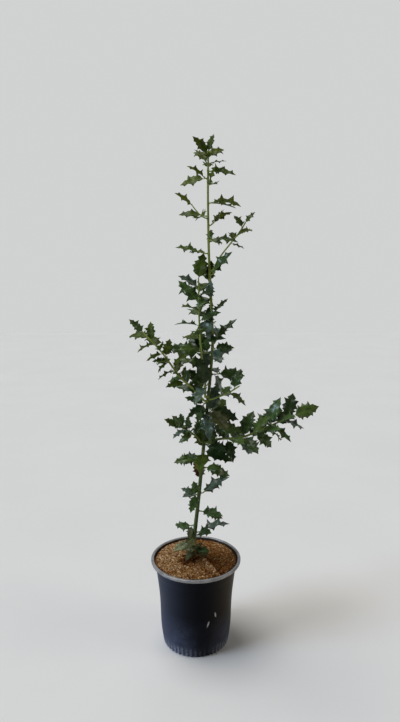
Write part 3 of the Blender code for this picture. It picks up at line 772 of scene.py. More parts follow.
# Place on the trunk, with bearing and rise in degrees
shootKeys = ("height", "bearing", "rise", "length", "leaves", "leafSize", "seed")
trunkShoots = (
    (1.331, 348, -4, 0.009, 2, 0.066, 857),
    (1.312, 187, 47, 0.009, 2, 0.065, 968),
    (1.295, 293, 8, 0.009, 2, 0.059, 501),
    (1.250, 340, 9, 0.009, 2, 0.081, 493),
    (1.210, 226, 42, 0.070, 1, 0.054, 747),
    (1.217, 175, 15, 0.016, 2, 0.066, 863),
    (1.193, 5, 49, 0.014, 2, 0.059, 117),
    (1.151, 43, 14, 0.012, 2, 0.052, 748),
    (1.154, 327, 20, 0.013, 2, 0.084, 940),
    (1.120, 190, 19, 0.024, 2, 0.066, 285),
    (1.064, 344, 60, 0.014, 2, 0.070, 448),
    (1.043, 110, 45, 0.010, 2, 0.072, 419),
    (1.001, 247, 1, 0.018, 2, 0.064, 800),
    (0.964, 9, 55, 0.016, 2, 0.052, 685),
    (0.964, 234, -17, 0.009, 2, 0.072, 400),
    (0.937, 129, 38, 0.030, 3, 0.052, 211),
    (0.892, 16, 54, 0.009, 2, 0.071, 88),
    (0.866, 290, -10, 0.014, 2, 0.070, 40),
    (0.850, 171, 7, 0.030, 3, 0.084, 183),
    (0.841, 322, 14, 0.015, 3, 0.069, 764),
    (0.803, 153, 26, 0.019, 3, 0.084, 442),
    (0.793, 2, 1, 0.018, 2, 0.084, 297),
    (0.764, 242, -8, 0.025, 2, 0.078, 698),
    (0.741, 177, 14, 0.019, 3, 0.069, 617),
    (0.711, 215, -34, 0.011, 3, 0.068, 980),
    (0.697, 311, -27, 0.013, 3, 0.084, 616),
    (0.682, 36, 25, 0.009, 3, 0.078, 438),
    (0.653, 334, -7, 0.030, 3, 0.072, 99),
    (0.590, 4, 27, 0.024, 3, 0.084, 620),
    (0.576, 270, -19, 0.018, 2, 0.084, 853),
    (0.572, 79, 42, 0.021, 2, 0.084, 231),
    (0.548, 192, 4, 0.020, 2, 0.069, 258),
    (0.524, 359, -12, 0.013, 2, 0.072, 45),
    (0.482, 86, 25, 0.019, 2, 0.055, 884),
    (0.447, 353, 52, 0.017, 2, 0.077, 289),
    (0.444, 228, 19, 0.009, 4, 0.059, 174),
    (0.394, 349, -4, 0.014, 2, 0.068, 736),
    (0.348, 162, -25, 0.009, 2, 0.056, 797),
    (0.329, 359, 35, 0.018, 2, 0.080, 766),
    (0.309, 233, -9, 0.024, 3, 0.051, 146),
    (0.284, 281, 4, 0.010, 8, 0.044, 369),
)
tuftForm = {
    "through": ((0.0335, 0.000, 1.358), (0.034, 0.001, 1.382)),
    "first": 0.1, "leaves": 8, "leafSize": 0.059, "seed": 5901,
}
leafRule = {
    "spiral": 137.5,
    "nudges": (0, 24, -24, 48, -48, 75, -75, 110, -110),
    "splay": (48, 78),
    "tipSplay": (0, 16),
    "sweep": 0.35,
    "bend": (4, 42),
    "fold": (6, 18),
    "rollSpread": 17,
    "sizeSpread": (0.82, 1.12),
    "breadth": (0.46, 0.58),
    "droop": 0.16,
    "lightSide": -0.12,
    "lightFrontLow": -0.85,
    "lightFrontHigh": -0.70,
    "lastSideLeaf": 0.94,
    "tipInset": 0.003,
    "reach": 1.25,
    "boughFirst": 0.06,     # share of a leafy end at which its first leaf stands
    "shootFirst": 0.5,      # and of a shoot, or nearer to the trunk, this far from it
    "shootBare": 0.006,
}
shootRadius, shootTipRadius, shootBend = 0.0017, 0.0014, 0.35
boughSteps, leafySteps, tuftSteps, shootSteps = 40, 12, 6, 4


def leafPoint(leaf, along, across, lift):
    # A point of the blade: along is 0 at the root and 1 at the tip, across and lift are in metres
    turn = leaf["bend"] * along
    forward = math.sin(turn) / leaf["bend"]
    down = (1 - math.cos(turn)) / leaf["bend"]
    middle = leaf["root"] + leaf["length"] * (forward * leaf["ahead"] - down * leaf["up"])
    normal = math.cos(turn) * leaf["up"] + math.sin(turn) * leaf["ahead"]
    rise = abs(across) * math.sin(leaf["fold"]) + lift
    return middle + leaf["side"] * (across * math.cos(leaf["fold"])) + normal * rise


def lightAt(height):
    # The way that upper faces turn at a height
    low, high = trunkForm["axis"][0][2] - clearance, trunkForm["axis"][-1][2]
    share = (height - low) / (high - low)
    front = leafRule["lightFrontLow"] + (leafRule["lightFrontHigh"] - leafRule["lightFrontLow"]) * share
    return Vector((leafRule["lightSide"], front, 1.0))


def growLeaves(path, form, first, accepts):
    # Leaves in a spiral round a stem, the last one at its tip. accepts says whether a leaf finds its room.
    rule = leafRule
    count, size = form["leaves"], form["leafSize"]
    chance = random.Random(form["seed"])
    spin = chance.uniform(0, 360)
    length = pathLength(path)
    middle = pointOn(path, 0.5)[0]
    reach = length / 2 + size * rule["reach"]
    leaves = []
    for number in range(count):
        atTip = number == count - 1
        share = first + (rule["lastSideLeaf"] - first) * number / max(count - 1, 1)
        if atTip:
            share = 1 - rule["tipInset"] / length
        splay = math.radians(chance.uniform(*(rule["tipSplay"] if atTip else rule["splay"])))
        splay *= 1 - rule["sweep"] * share
        leaf = {"length": size * chance.uniform(*rule["sizeSpread"])}
        leaf["breadth"] = chance.uniform(*rule["breadth"])
        for key in ("bend", "fold"):
            leaf[key] = math.radians(chance.uniform(*rule[key]))
        roll = math.radians(chance.gauss(0, rule["rollSpread"]))
        base, axis = pointOn(path, share)
        light = lightAt(base.z)
        across = axis.orthogonal().normalized()
        for nudge in rule["nudges"]:
            turn = math.radians(spin + number * rule["spiral"] + nudge)
            ahead = axis * math.cos(splay) + (Matrix.Rotation(turn, 3, axis) @ across) * math.sin(splay)
            ahead.z -= rule["droop"] * math.sin(splay)
            ahead.normalize()
            up = Matrix.Rotation(roll, 3, ahead) @ (light - light.dot(ahead) * ahead).normalized()
            leaf.update(root=base, ahead=ahead, up=up, side=ahead.cross(up))
            if (leafPoint(leaf, 1.0, 0, 0) - middle).length < reach and accepts(leaf):
                leaves.append(leaf)
                break
    return leaves


def tipIsOn(node):
    # Accepts the leaves whose tips are corners of the part's own solid
    points = cadNodes[node].data.vertices
    tree = KDTree(len(points))
    for point in points:
        tree.insert(point.co, point.index)
    tree.balance()
    return lambda leaf: tree.find(leafPoint(leaf, 1.0, 0, 0))[2] < 0.0004


def trunkRadiusAt(height):
    form = trunkForm
    bottom, top = form["axis"][0][2], form["axis"][-1][2]
    share = (height - bottom) / (top - bottom)
    flare = form["flare"] * math.exp(-(height - bottom) / form["flareHeight"])
    return form["radius"] + (form["tipRadius"] - form["radius"]) * share + flare


trunkPath = smoothPath([Vector(point) for point in trunkForm["axis"]], trunkForm["steps"])
ground = trunkPath[0].copy()
trunkPath = [ground, ground + Vector((0, 0, trunkForm["flareHeight"] / 3)), *trunkPath[1:]]
trunkRadii = [trunkRadiusAt(point.z) for point in trunkPath]


def leavingTrunk(height, bearing):
    # The place on the trunk's skin, with the clearance, and the way out from there, square to the trunk
    index = next(i for i, point in enumerate(trunkPath) if point.z > height)
    below, above = trunkPath[index - 1], trunkPath[index]
    share = (height - below.z) / (above.z - below.z)
    skin = trunkRadii[index - 1] + (trunkRadii[index] - trunkRadii[index - 1]) * share
    along = (above - below).normalized()
    out = Vector((math.cos(bearing), math.sin(bearing), 0))
    out = (out - out.dot(along) * along).normalized()
    return below.lerp(above, share) + out * (skin + clearance), out


def boughStems(form):
    # The whole path of a bough, the way it leaves the trunk, and its leafy end
    through = [Vector(point) for point in form["through"]]
    near = leavingTrunk(form["height"], 0.0)[0]
    bearing = math.atan2(through[0].y - near.y, through[0].x - near.x)
    start, out = leavingTrunk(form["height"], bearing)
    path = smoothPath([start, start + out * 2 * form["radii"][0], *through], boughSteps)
    path[1] = start + out * (path[1] - start).length
    lastBare = round(boughSteps * form["bare"])
    ahead = (path[lastBare] - path[lastBare - 1]).normalized()
    leafy = evenSteps([path[lastBare] + ahead * clearance, *path[lastBare + 1:]], leafySteps)
    return path, out, leafy


def shootStem(form):
    # A short shoot that leaves the trunk straight and then turns to its own rise
    turn, climb, length = math.radians(form["bearing"]), math.radians(form["rise"]), form["length"]
    start, out = leavingTrunk(form["height"], turn)
    ahead = Vector((math.cos(turn) * math.cos(climb), math.sin(turn) * math.cos(climb), math.sin(climb)))
    bend = start + out * length * shootBend
    tip = bend + ahead * length * (1 - shootBend)
    curve = []
    for number in range(curveSteps + 1):
        t = number / curveSteps
        curve.append(start * (1 - t) ** 2 + bend * 2 * t * (1 - t) + tip * t ** 2)
    return evenSteps(curve, shootSteps), out


def makeSpray(node, path, out, leaves, radii=None):
    # A stem with its leaves and the part that they stand for
    # Without radii the stem is covered by a bough's own bark
    return {"node": node, "path": path, "out": out, "leaves": leaves, "radii": radii}


sprays = []
boughPaths = {}
for name, form in boughForms.items():
    path, out, leafy = boughStems(form)
    boughPaths[name] = (path, out)
    node = name + "_leaves"
    sprays.append(makeSpray(node, leafy, out, growLeaves(leafy, form, leafRule["boughFirst"], tipIsOn(node))))
tuftStart = trunkPath[-1] + (trunkPath[-1] - trunkPath[-2]).normalized() * clearance
path = smoothPath([tuftStart, *[Vector(point) for point in tuftForm["through"]]], tuftSteps)
leaves = growLeaves(path, tuftForm, tuftForm["first"], tipIsOn("top_tuft_leaves"))
sprays.append(makeSpray("top_tuft_leaves", path, Vector((0, 0, 1)), leaves,
                        (trunkForm["tipRadius"], shootTipRadius)))
for number, row in enumerate(trunkShoots, 1):
    node = f"trunk_shoot_{number:02d}_leaves"
    form = dict(zip(shootKeys, row))
    path, out = shootStem(form)
    first = min(leafRule["shootFirst"], leafRule["shootBare"] / form["length"])
    leaves = growLeaves(path, form, first, tipIsOn(node))
    sprays.append(makeSpray(node, path, out, leaves, (shootRadius, shootTipRadius)))
print("grown:", sum(len(spray["leaves"]) for spray in sprays), "leaves in", len(sprays), "sprays")


# Bark of the trunk and the boughs

barkForm = {
    "ringGap": 0.0021,      # height of one ring of the trunk's mesh
    "sides": 28,
    "boughSides": 14,
    "boughRings": 150,
    "lobes": 5,             # swellings of the root flare
    "lobeTurn": 1.2,
    "lobeHeight": 0.0011,
    "lobeFall": 0.010,
    "unevenness": 0.00016,
    "scarReach": 0.014,
    "scarHeight": 0.0007,   # swelling at each shoot, longer below it than above
    "scarBelow": 0.0055,
    "scarAbove": 0.0030,
    "scarTurn": 0.75,
    "scarRing": 0.0022,     # and a low ring all round
    "ringShare": 0.25,
    "lenticels": 420,
    "lenticelShare": 0.62,  # only this share of the trunk has them, from its foot up
    "lenticelSize": 0.0010,
    "lenticelHeight": 0.00028,
    "bucket": 4,            # rings that are searched for lenticels together
    "seed": 12,
    "boughSunk": 0.0035,    # how far a bough starts inside the trunk
    "boughCollar": 0.45,    # swelling at its start, as a share of its radius
    "collarLength": 0.0048,
    "boughEnd": 0.985,      # thinner beyond this share
    "boughEndShare": 0.75,
    "jointHeight": 0.00038,     # swelling at each leaf
    "jointLength": 0.0022,
    "boughUnevenness": 0.00012,
}
# Colour at the low height and at the high one, the low one darker partly as painted shade, the two heights,
# and how much soil is splashed on the foot
barkLooks = {
    "trunk bark": ((0.074, 0.110, 0.024), (0.235, 0.270, 0.045), (0.75, 1.12), 0.75),
    "bough bark": ((0.195, 0.250, 0.045), (0.285, 0.360, 0.070), (0.60, 0.90), 0.0),
    "young bark": ((0.180, 0.225, 0.045), (0.235, 0.305, 0.060), (0.40, 1.10), 0.0),
}
soilColour, soilLow, soilHigh = (0.16, 0.09, 0.045), 0.262, 0.320


def barkMaterial(name):
    # Green young bark that turns browner and darker downwards, partly older bark and partly painted shade
    # lower in the crown, with soil splashed on its foot
    low, high, heights, splash = barkLooks[name]
    made, tree, shader, mottle = grainMaterial(name, (420.0, 1500.0), (0.46, 0.62), (0.35, 0.0004),
                                               (1, 1, 0.14), Specular_IOR_Level=0.25)
    climb = mapRange(tree, splitAxes(tree, objectPlace(tree))["Z"], *heights)
    dark = mixColours(tree, climb, shade(low, 0.5), shade(high, 0.82))
    colour = mixColours(tree, mottle, dark, mixColours(tree, climb, low, high))
    dust = placeGroup(tree, dustAndSheenGroup, Colour=colour, Dust_Colour=soilColour, Low=soilLow, High=soilHigh,
                      Amount=splash, Patch_Scale=160.0)
    plug(tree, shader["Base Color"], dust["Colour"])
    return made


def turnBetween(first, second):
    return (first - second + math.pi) % math.tau - math.pi


def makeTrunkBark(form):
    height = trunkForm["axis"][-1][2] - ground.z
    path = smoothPath([Vector(point) for point in trunkForm["axis"]], round(height / form["ringGap"]))
    chance = random.Random(form["seed"])
    dots = {}
    for number in range(form["lenticels"]):
        ring = chance.randrange(form["bucket"], round(len(path) * form["lenticelShare"]))
        dots.setdefault(ring // form["bucket"], []).append((path[ring].z, chance.uniform(-math.pi, math.pi)))
    frames = ringFrames(path)
    shoots = [(row[0], math.radians(row[1])) for row in trunkShoots]
    for name, bough in boughForms.items():
        out = boughPaths[name][1]
        shoots.append((bough["height"], math.atan2(out.y, out.x)))

    def radiusAt(index, angle):
        point = path[index]
        plain = trunkRadiusAt(point.z)
        right, back = frames[index]
        out = right * math.cos(angle) + back * math.sin(angle)
        bearing = math.atan2(out.y, out.x)
        lobe = 0.5 + 0.5 * math.cos(form["lobes"] * bearing + form["lobeTurn"])
        radius = plain + form["lobeHeight"] * lobe * math.exp(-(point.z - ground.z) / form["lobeFall"])
        radius += form["unevenness"] * noise.noise(Vector((out.x * 3.2, out.y * 3.2, point.z * 26)))
        for shootHeight, shootBearing in shoots:
            gap = point.z - shootHeight
            if abs(gap) < form["scarReach"]:
                scar = hump(gap, form["scarBelow"] if gap < 0 else form["scarAbove"])
                scar *= hump(turnBetween(bearing, shootBearing), form["scarTurn"])
                radius += form["scarHeight"] * (scar + form["ringShare"] * hump(gap, form["scarRing"]))
        bucket = index // form["bucket"]
        for near in (bucket - 1, bucket, bucket + 1):
            for dotHeight, dotAngle in dots.get(near, ()):
                turn = turnBetween(angle, dotAngle) * plain
                spread = ((point.z - dotHeight) ** 2 * 0.45 + turn ** 2) / form["lenticelSize"] ** 2
                radius += form["lenticelHeight"] * math.exp(-spread)
        return radius

    shape = bmesh.new()
    addLimb(shape, path, radiusAt, form["sides"])
    for vertex in shape.verts:
        vertex.co.z = max(vertex.co.z, ground.z)
    addLimbs("trunk_bark", shape, barkMaterial("trunk bark"), ["trunk"])


def makeBoughBark(form, name, made):
    # One limb from inside the trunk to the tip of its leafy end
    path, out = boughPaths[name]
    thick, thin = boughForms[name]["radii"]
    line = evenSteps([path[0] - out * form["boughSunk"], *path], form["boughRings"])
    joints = next(spray["leaves"] for spray in sprays if spray["node"] == name + "_leaves")

    def radiusAt(index, angle):
        share = index / (len(line) - 1)
        away = (line[index] - line[0]).length
        radius = thick + (thin - thick) * share
        radius += form["boughCollar"] * thick * hump(away, form["collarLength"])
        if share > form["boughEnd"]:
            radius *= form["boughEndShare"]
        nearest = min((line[index] - leaf["root"]).length for leaf in joints)
        radius += form["jointHeight"] * hump(nearest, form["jointLength"])
        grain = noise.noise(Vector((math.cos(angle) * 2, math.sin(angle) * 2, away * 60)))
        return radius + form["boughUnevenness"] * grain

    shape = bmesh.new()
    addLimb(shape, line, radiusAt, form["boughSides"])
    addLimbs(name + "_bark", shape, made, [name])


makeTrunkBark(barkForm)
boughBark = barkMaterial("bough bark")
for name in boughForms:
    makeBoughBark(barkForm, name, boughBark)
print("bark grown on the trunk and", len(boughForms), "boughs")


# Finer sprays: small leaves in the axils, which keep within the reach of the mass they stand in

sideForm = {
    "heights": (0.60, 0.90),    # only the dense middle of the crown has them
    "middle": 0.03,         # and only this near to the trunk
    "reach": 0.10,
    "boughShares": (0.15, 0.45, 0.75),      # where they stand on a bough and on a shoot
    "shootShares": (0.7,),
    "length": (0.010, 0.018),
    "leafSize": (0.030, 0.044),
    "radii": (0.0011, 0.0007),
    "onSkin": 0.0012,       # how far out from the stem's middle they start
    "ahead": 0.9,           # how much they turn along the stem, and up
    "up": 0.35,
    "first": 0.4,
    "leaves": 2,
    "seed": 5,
}


def insideBox(box, point):
    return all(low <= value <= high for low, value, high in zip(box[0], point, box[1]))


def growSideSprays(form):
    trees = []
    for node in cadNodes.values():
        points = [vertex.co.copy() for vertex in node.data.vertices]
        trees.append(BVHTree.FromPolygons(points, [tuple(face.vertices) for face in node.data.polygons]))
    chance = random.Random(form["seed"])
    made = []
    for spray in sprays:
        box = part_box(spray["node"])
        for share in form["boughShares"] if len(spray["leaves"]) > 4 else form["shootShares"]:
            base, ahead = pointOn(spray["path"], share)
            turn = chance.uniform(0, math.tau)
            length = chance.uniform(*form["length"])
            small = {"leafSize": chance.uniform(*form["leafSize"]), "leaves": form["leaves"],
                     "seed": chance.randrange(10000)}
            low, high = form["heights"]
            if not low < base.z < high or abs(base.x - form["middle"]) > form["reach"]:
                continue
            out = Matrix.Rotation(turn, 3, ahead) @ ahead.orthogonal().normalized()
            way = (out + ahead * form["ahead"] + Vector((0, 0, form["up"]))).normalized()
            start = base + out * form["onSkin"]
            path = evenSteps([start, base + way * length * 0.5, base + way * length], 4)

            def findsRoom(leaf):
                if not insideBox(box, leafPoint(leaf, 1.0, 0, 0)):
                    return False
                blade = leafTree(leaf)
                return not any(blade.overlap(tree) for tree in trees)

            leaves = growLeaves(path, small, form["first"], findsRoom)
            if len(leaves) == form["leaves"]:
                made.append(makeSpray(spray["node"], path, out, leaves, form["radii"]))
                trees += [leafTree(leaf) for leaf in leaves]
    return made


# Leaves

hollyLeaf = {
    # place and half width before the first spine and after the last one
    "rootStations": ((0.10, 0.05), (0.135, 0.20)),
    "tipStations": ((0.855, 0.34), (0.920, 0.17), (0.965, 0.07), (1.0, 0.012)),
    "rootWidth": 0.80,
    # places, widths and waves of the spines: their tips turn up where the wave is above nought
    "spinePlaces": (0.270, 0.450, 0.630, 0.800),
    "spineWidths": (0.96, 1.10, 1.02, 0.66),
    "spineWaves": (0.36, -0.26, 0.36, -0.22),
    "hollow": 0.72,         # half width between two spines, as a share of the narrower one
    "stagger": 0.016,       # the spines of one side stand this much further on than those of the other
    "ribWidth": 0.009,
    "quilt": 0.026,         # how far the blade swells between midrib and spine
    "thickness": 0.0008,
    "columns": (0.0, 0.26, 0.48, 0.52, 0.74, 1.0),      # places across the leaf, the midrib in the middle
    "shoulder": 0.52,       # half width and lift of the columns between the edge and the midrib
    "shoulderLift": 0.30,
    "waveSpread": (0.75, 1.25),
    "widthSpread": (0.86, 1.12),
    "seed": 40,
    "toneSeed": 77,
    "frontFirst": 0.2,      # for single turned leaves, those that hang further forward come first
}


def leafStations(form):
    # Place along the leaf, half width and wave: a hollow, a rise and a tip for each spine
    stations = [(place, width, 0.0) for place, width in form["rootStations"]]
    beforePlace, beforeWidth = stations[-1][0], form["rootWidth"]
    for place, width, wave in zip(form["spinePlaces"], form["spineWidths"], form["spineWaves"]):
        hollow = form["hollow"] * min(width, beforeWidth)
        hollowPlace = beforePlace + (place - beforePlace) * 0.42
        risePlace = hollowPlace + (place - hollowPlace) * 0.62
        stations.append((hollowPlace, hollow, wave * 0.1))
        stations.append((risePlace, hollow + (width - hollow) * 0.30, wave * 0.45))
        stations.append((place, width, wave))
        beforePlace, beforeWidth = place, width
    return stations + [(place, width, 0.0) for place, width in form["tipStations"]]


def addLeaf(shape, leaf, form, chance):
    # A grid bent into a holly leaf, with its place along and across kept for the veins
    places = shape.loops.layers.uv.verify()
    stations = leafStations(form)
    last, across = len(stations) - 1, len(form["columns"]) - 1
    made = bmesh.ops.create_grid(shape, x_segments=last, y_segments=across, size=1.0)["verts"]
    wave = chance.uniform(*form["waveSpread"]) * chance.choice((-1, 1))
    stagger = form["stagger"] * chance.choice((-1, 1))
    uneven = [chance.uniform(*form["widthSpread"]) for number in range(2 * (last + 1))]
    length = leaf["length"]

    def cellOf(point):
        return round((point.x + 1) / 2 * last), round((point.y + 1) / 2 * across)

    for face in {face for vertex in made for face in vertex.link_faces}:
        band = int((face.calc_center_median().y + 1) / 2 * across)
        face.material_index = 1 if band == across // 2 else 0
        face.smooth = True
        for loop in face.loops:
            index, column = cellOf(loop.vert.co)
            loop[places].uv = (stations[index][0], form["columns"][column])
    for vertex in made:
        index, column = cellOf(vertex.co)
        side = -1 if column > across // 2 else 1
        place, width, lift = stations[index]
        half = width * leaf["breadth"] * length / 2 * uneven[2 * index + (side > 0)]
        if 0 < index < last:
            place += stagger * side * min(1.0, width)
        rib = form["ribWidth"] * length * (1 - 0.85 * place)
        edgeLift = half * lift * wave
        if column in (0, across):
            off, rise = max(half, rib * 1.2), edgeLift
        elif column in (1, across - 1):
            off = max(half * form["shoulder"], rib * 1.1)
            rise = edgeLift * form["shoulderLift"] + form["quilt"] * length * min(1.0, width) * 0.5
        else:
            off, rise = rib, 0.0
        vertex.co = leafPoint(leaf, place, off * side, rise)


def leafTree(leaf):
    # The outline of a leaf, for finding room
    shape = bmesh.new()
    addLeaf(shape, leaf, hollyLeaf, random.Random(0))
    tree = BVHTree.FromBMesh(shape)
    shape.free()
    return tree


# The blade where it is lit up by its cells, its darker mottling, the midrib, the roughness, and the clear wax
leafTones = {
    "young": ((0.0600, 0.0820, 0.0020), (0.0110, 0.0190, 0.0008), (0.1700, 0.2050, 0.0220), 0.42, 0.05),
    "fresh": ((0.0560, 0.0980, 0.0180), (0.0130, 0.0280, 0.0046), (0.1300, 0.1750, 0.0400), 0.34, 0.28),
    "deep": ((0.0380, 0.0860, 0.0210), (0.0060, 0.0180, 0.0036), (0.1050, 0.1600, 0.0400), 0.32, 0.40),
    # painted shade: a darker copy of the deep green for leaves in shade
    "dark": ((0.0130, 0.0350, 0.0110), (0.0036, 0.0100, 0.0030), (0.0500, 0.0780, 0.0200), 0.38, 0.12),
    # painted sheen: a pale grey-blue blade for leaves that catch the sky
    "blue": ((0.0860, 0.1320, 0.0920), (0.0170, 0.0340, 0.0210), (0.1300, 0.1700, 0.1000), 0.30, 0.45),
    "olive": ((0.0350, 0.0630, 0.0024), (0.0066, 0.0140, 0.0010), (0.1200, 0.1600, 0.0200), 0.40, 0.06),
    "brown": ((0.0580, 0.0600, 0.0180), (0.0160, 0.0190, 0.0060), (0.1050, 0.1050, 0.0340), 0.44, 0.10),
    "red": ((0.2100, 0.0560, 0.0300), (0.0700, 0.0220, 0.0110), (0.1500, 0.0800, 0.0400), 0.44, 0.08),
    "dusty": ((0.2400, 0.2650, 0.1450), (0.0700, 0.0900, 0.0440), (0.3300, 0.3500, 0.2100), 0.62, 0.00),
}
belowColour, marginColour = (0.052, 0.108, 0.028), (0.14, 0.15, 0.05)
# Lowest height at which a share of tones begins, the highest first; the grey-blue tone is a painted sheen,
# and the dark tone is painted shade
tonesByHeight = (
    (1.185, {"young": 7, "fresh": 1, "olive": 3}),
    (1.100, {"fresh": 4, "deep": 2, "young": 3}),
    (0.930, {"deep": 5, "blue": 2, "fresh": 2, "dark": 1}),
    (0.610, {"blue": 4, "deep": 6, "dark": 2, "fresh": 2}),
    (0.320, {"deep": 5, "fresh": 1, "blue": 2, "dark": 3}),
    (0.000, {"dusty": 5, "brown": 3, "olive": 1, "deep": 2}),
)
# the grey-blue tone is a painted sheen, and the dark tone is painted shade
tonesByMass = {
    "top_right_bough_leaves": {"young": 5, "fresh": 4},
    "second_stem_leaves": {"olive": 3, "deep": 4, "fresh": 3, "dark": 1, "blue": 1},
    "left_bough_leaves": {"olive": 8, "deep": 1, "fresh": 1},
    "right_bough_leaves": {"deep": 7, "fresh": 3, "blue": 1, "dark": 1},
}
# Single leaves that have turned: where they hang, seen from the front, and their tone
oddLeaves = (((0.075, 0.680), "brown"), ((-0.010, 0.510), "red"), ((0.030, 0.535), "olive"),
             ((-0.016, 0.325), "brown"))


def makeLeafGroup():
    # Blade colour, gloss and relief from the place on the leaf: side veins slant towards the tip
    group, given, wanted = newGroup(
        "leaf skin",
        {"Colour": (0.1, 0.2, 0.1, 1), "Dark Colour": (0.05, 0.1, 0.05, 1), "Vein Colour": (0.3, 0.3, 0.1, 1),
         "Vein Strength": 0.4, "Gloss": 0.3},
        {"Colour": (0, 0, 0, 1), "Roughness": 0.0, "Height": 0.0})
    leaf = splitAxes(group, addNode(group, "ShaderNodeUVMap", uv_map="UVMap").outputs["UV"])
    off = times(group, awayFrom(group, leaf["Y"], 0.5), 2.0)
    slant = doMath(group, "SUBTRACT", times(group, leaf["X"], 8.5), times(group, off, 1.5))
    gap = awayFrom(group, doMath(group, "FRACT", slant), 0.5)
    vein = times(group, mapRange(group, gap, 0.10, 0.0), mapRange(group, off, 1.0, 0.6))
    place = objectPlace(group)
    mottle = mapRange(group, noiseOn(group, place, 80.0, 4.0), 0.38, 0.60)
    fine = noiseOn(group, place, 700.0, 2.0)
    blade = mixColours(group, mottle, given["Dark Colour"], given["Colour"])
    edge = times(group, doMath(group, "POWER", off, 6.0), 0.30)
    marked = doMath(group, "MAXIMUM", times(group, vein, given["Vein Strength"]), edge)
    rough = doMath(group, "ADD", given["Gloss"], mapRange(group, mottle, 0.0, 1.0, 0.10, -0.02))
    plug(group, wanted["Colour"], mixColours(group, marked, blade, given["Vein Colour"]))
    plug(group, wanted["Roughness"], rough)
    plug(group, wanted["Height"], doMath(group, "SUBTRACT", times(group, fine, 0.35), vein))
    return group


leafGroup = makeLeafGroup()


def leafMaterial(name, blade, dark, vein, veinStrength, gloss, coat):
    made, tree, shader = newMaterial(name, Coat_Weight=coat, Coat_Roughness=0.20, Specular_IOR_Level=0.12)
    skin = placeGroup(tree, leafGroup, Colour=blade, Dark_Colour=dark, Vein_Colour=vein,
                      Vein_Strength=veinStrength, Gloss=gloss)
    plug(tree, shader["Base Color"], skin["Colour"])
    plug(tree, shader["Roughness"], skin["Roughness"])
    addBump(tree, shader, skin["Height"], 0.45, 0.0004)
    return made


def blend(first, second, share):
    return tuple(a + (b - a) * share for a, b in zip(first, second))


def toneMaterials(tone):
    # In the order that Solidify deals them: blade, mottling, vein, vein strength, roughness and wax of each
    blade, dark, rib, gloss, coat = leafTones[tone]
    below = blend(blade, belowColour, 0.50)
    looks = {
        "leaf": (blade, dark, rib, 0.38, gloss, coat),
        "midrib": (rib, blend(rib, blade, 0.4), rib, 0.0, gloss + 0.08, 0.1),
        "underside": (below, blend(below, dark, 0.35), blend(below, rib, 0.6), 0.45, 0.55, 0.0),
        "under rib": (blend(below, rib, 0.75), below, rib, 0.0, 0.55, 0.0),
        "margin": (blend(blade, marginColour, 0.40), blade, rib, 0.0, 0.40, 0.0),
    }
    return [leafMaterial(f"{tone} {name}", *look) for name, look in looks.items()]


def dealTones(form, allSprays):
    # Each leaf's tone: by its mass or its height, and then the few odd ones
    chance = random.Random(form["toneSeed"])
    dealt = []
    for spray in allSprays:
        byHeight = next(shares for lowest, shares in tonesByHeight if spray["path"][0].z > lowest)
        shares = tonesByMass.get(spray["node"], byHeight)
        for leaf in spray["leaves"]:
            tone = chance.choices(list(shares), weights=list(shares.values()))[0]
            dealt.append([tone, leaf, spray["node"]])
    for place, tone in oddLeaves:

        def distance(row):
            middle = leafPoint(row[1], 0.55, 0, 0)
            return math.dist((middle.x, middle.z), place) + form["frontFirst"] * middle.y

        min(dealt, key=distance)[0] = tone
    return dealt


def makeLeaves(form, allSprays):
    shapes, nodes = {}, {}
    chance = random.Random(form["seed"])
    for tone, leaf, node in dealTones(form, allSprays):
        if tone not in shapes:
            shapes[tone], nodes[tone] = bmesh.new(), set()
        nodes[tone].add(node)
        addLeaf(shapes[tone], leaf, form, chance)
    for tone, shape in shapes.items():
        piece = addPiece(f"leaves_{tone}", shape, toneMaterials(tone), sorted(nodes[tone]))
        solid = piece.modifiers.new("blade thickness", "SOLIDIFY")
        solid.thickness = form["thickness"]
        solid.offset = -1
        solid.use_rim = True
        solid.material_offset = 2
        solid.material_offset_rim = 4


twigForm = {
    "sides": 10,
    "rings": 14,
    "sunk": 0.0035,
    "collar": 0.35,         # swelling at the start, as a share of the radius
    "collarLength": 0.0045,
    "knots": 0.00010,
    "end": 0.7,
    "stalkSides": 6,
    "stalkRadii": (0.0010, 0.0006),
    "stalkPlaces": (0.0, 0.04, 0.08, 0.12, 0.17, 0.22),     # along the leaf
    "stalkSunk": 0.0005,
    "stalkEnd": 0.4,
    "fullLeaf": 0.060,      # smaller leaves have thinner stalks
    "budLength": 0.0042,
    "budRadius": 0.0011,
    "budSides": 7,
    "budSteps": (-0.3, 0.0, 0.3, 0.6, 0.85, 1.0),
    "budWidths": (0.7, 0.9, 1.0, 0.72, 0.36, 0.06),
    "axilLeaf": 0.045,      # leaves longer than this have a bud in their axil
    "axilPlace": 0.035,
    "axilLift": 0.0012,
    "axilBud": 0.0026,
}


def addBud(shape, form, place, ahead, size):
    # A small pointed bud
    path = [place + ahead * size * step for step in form["budSteps"]]
    thick = form["budRadius"] * size / form["budLength"]
    addLimb(shape, path, lambda index, angle: thick * form["budWidths"][index], form["budSides"])


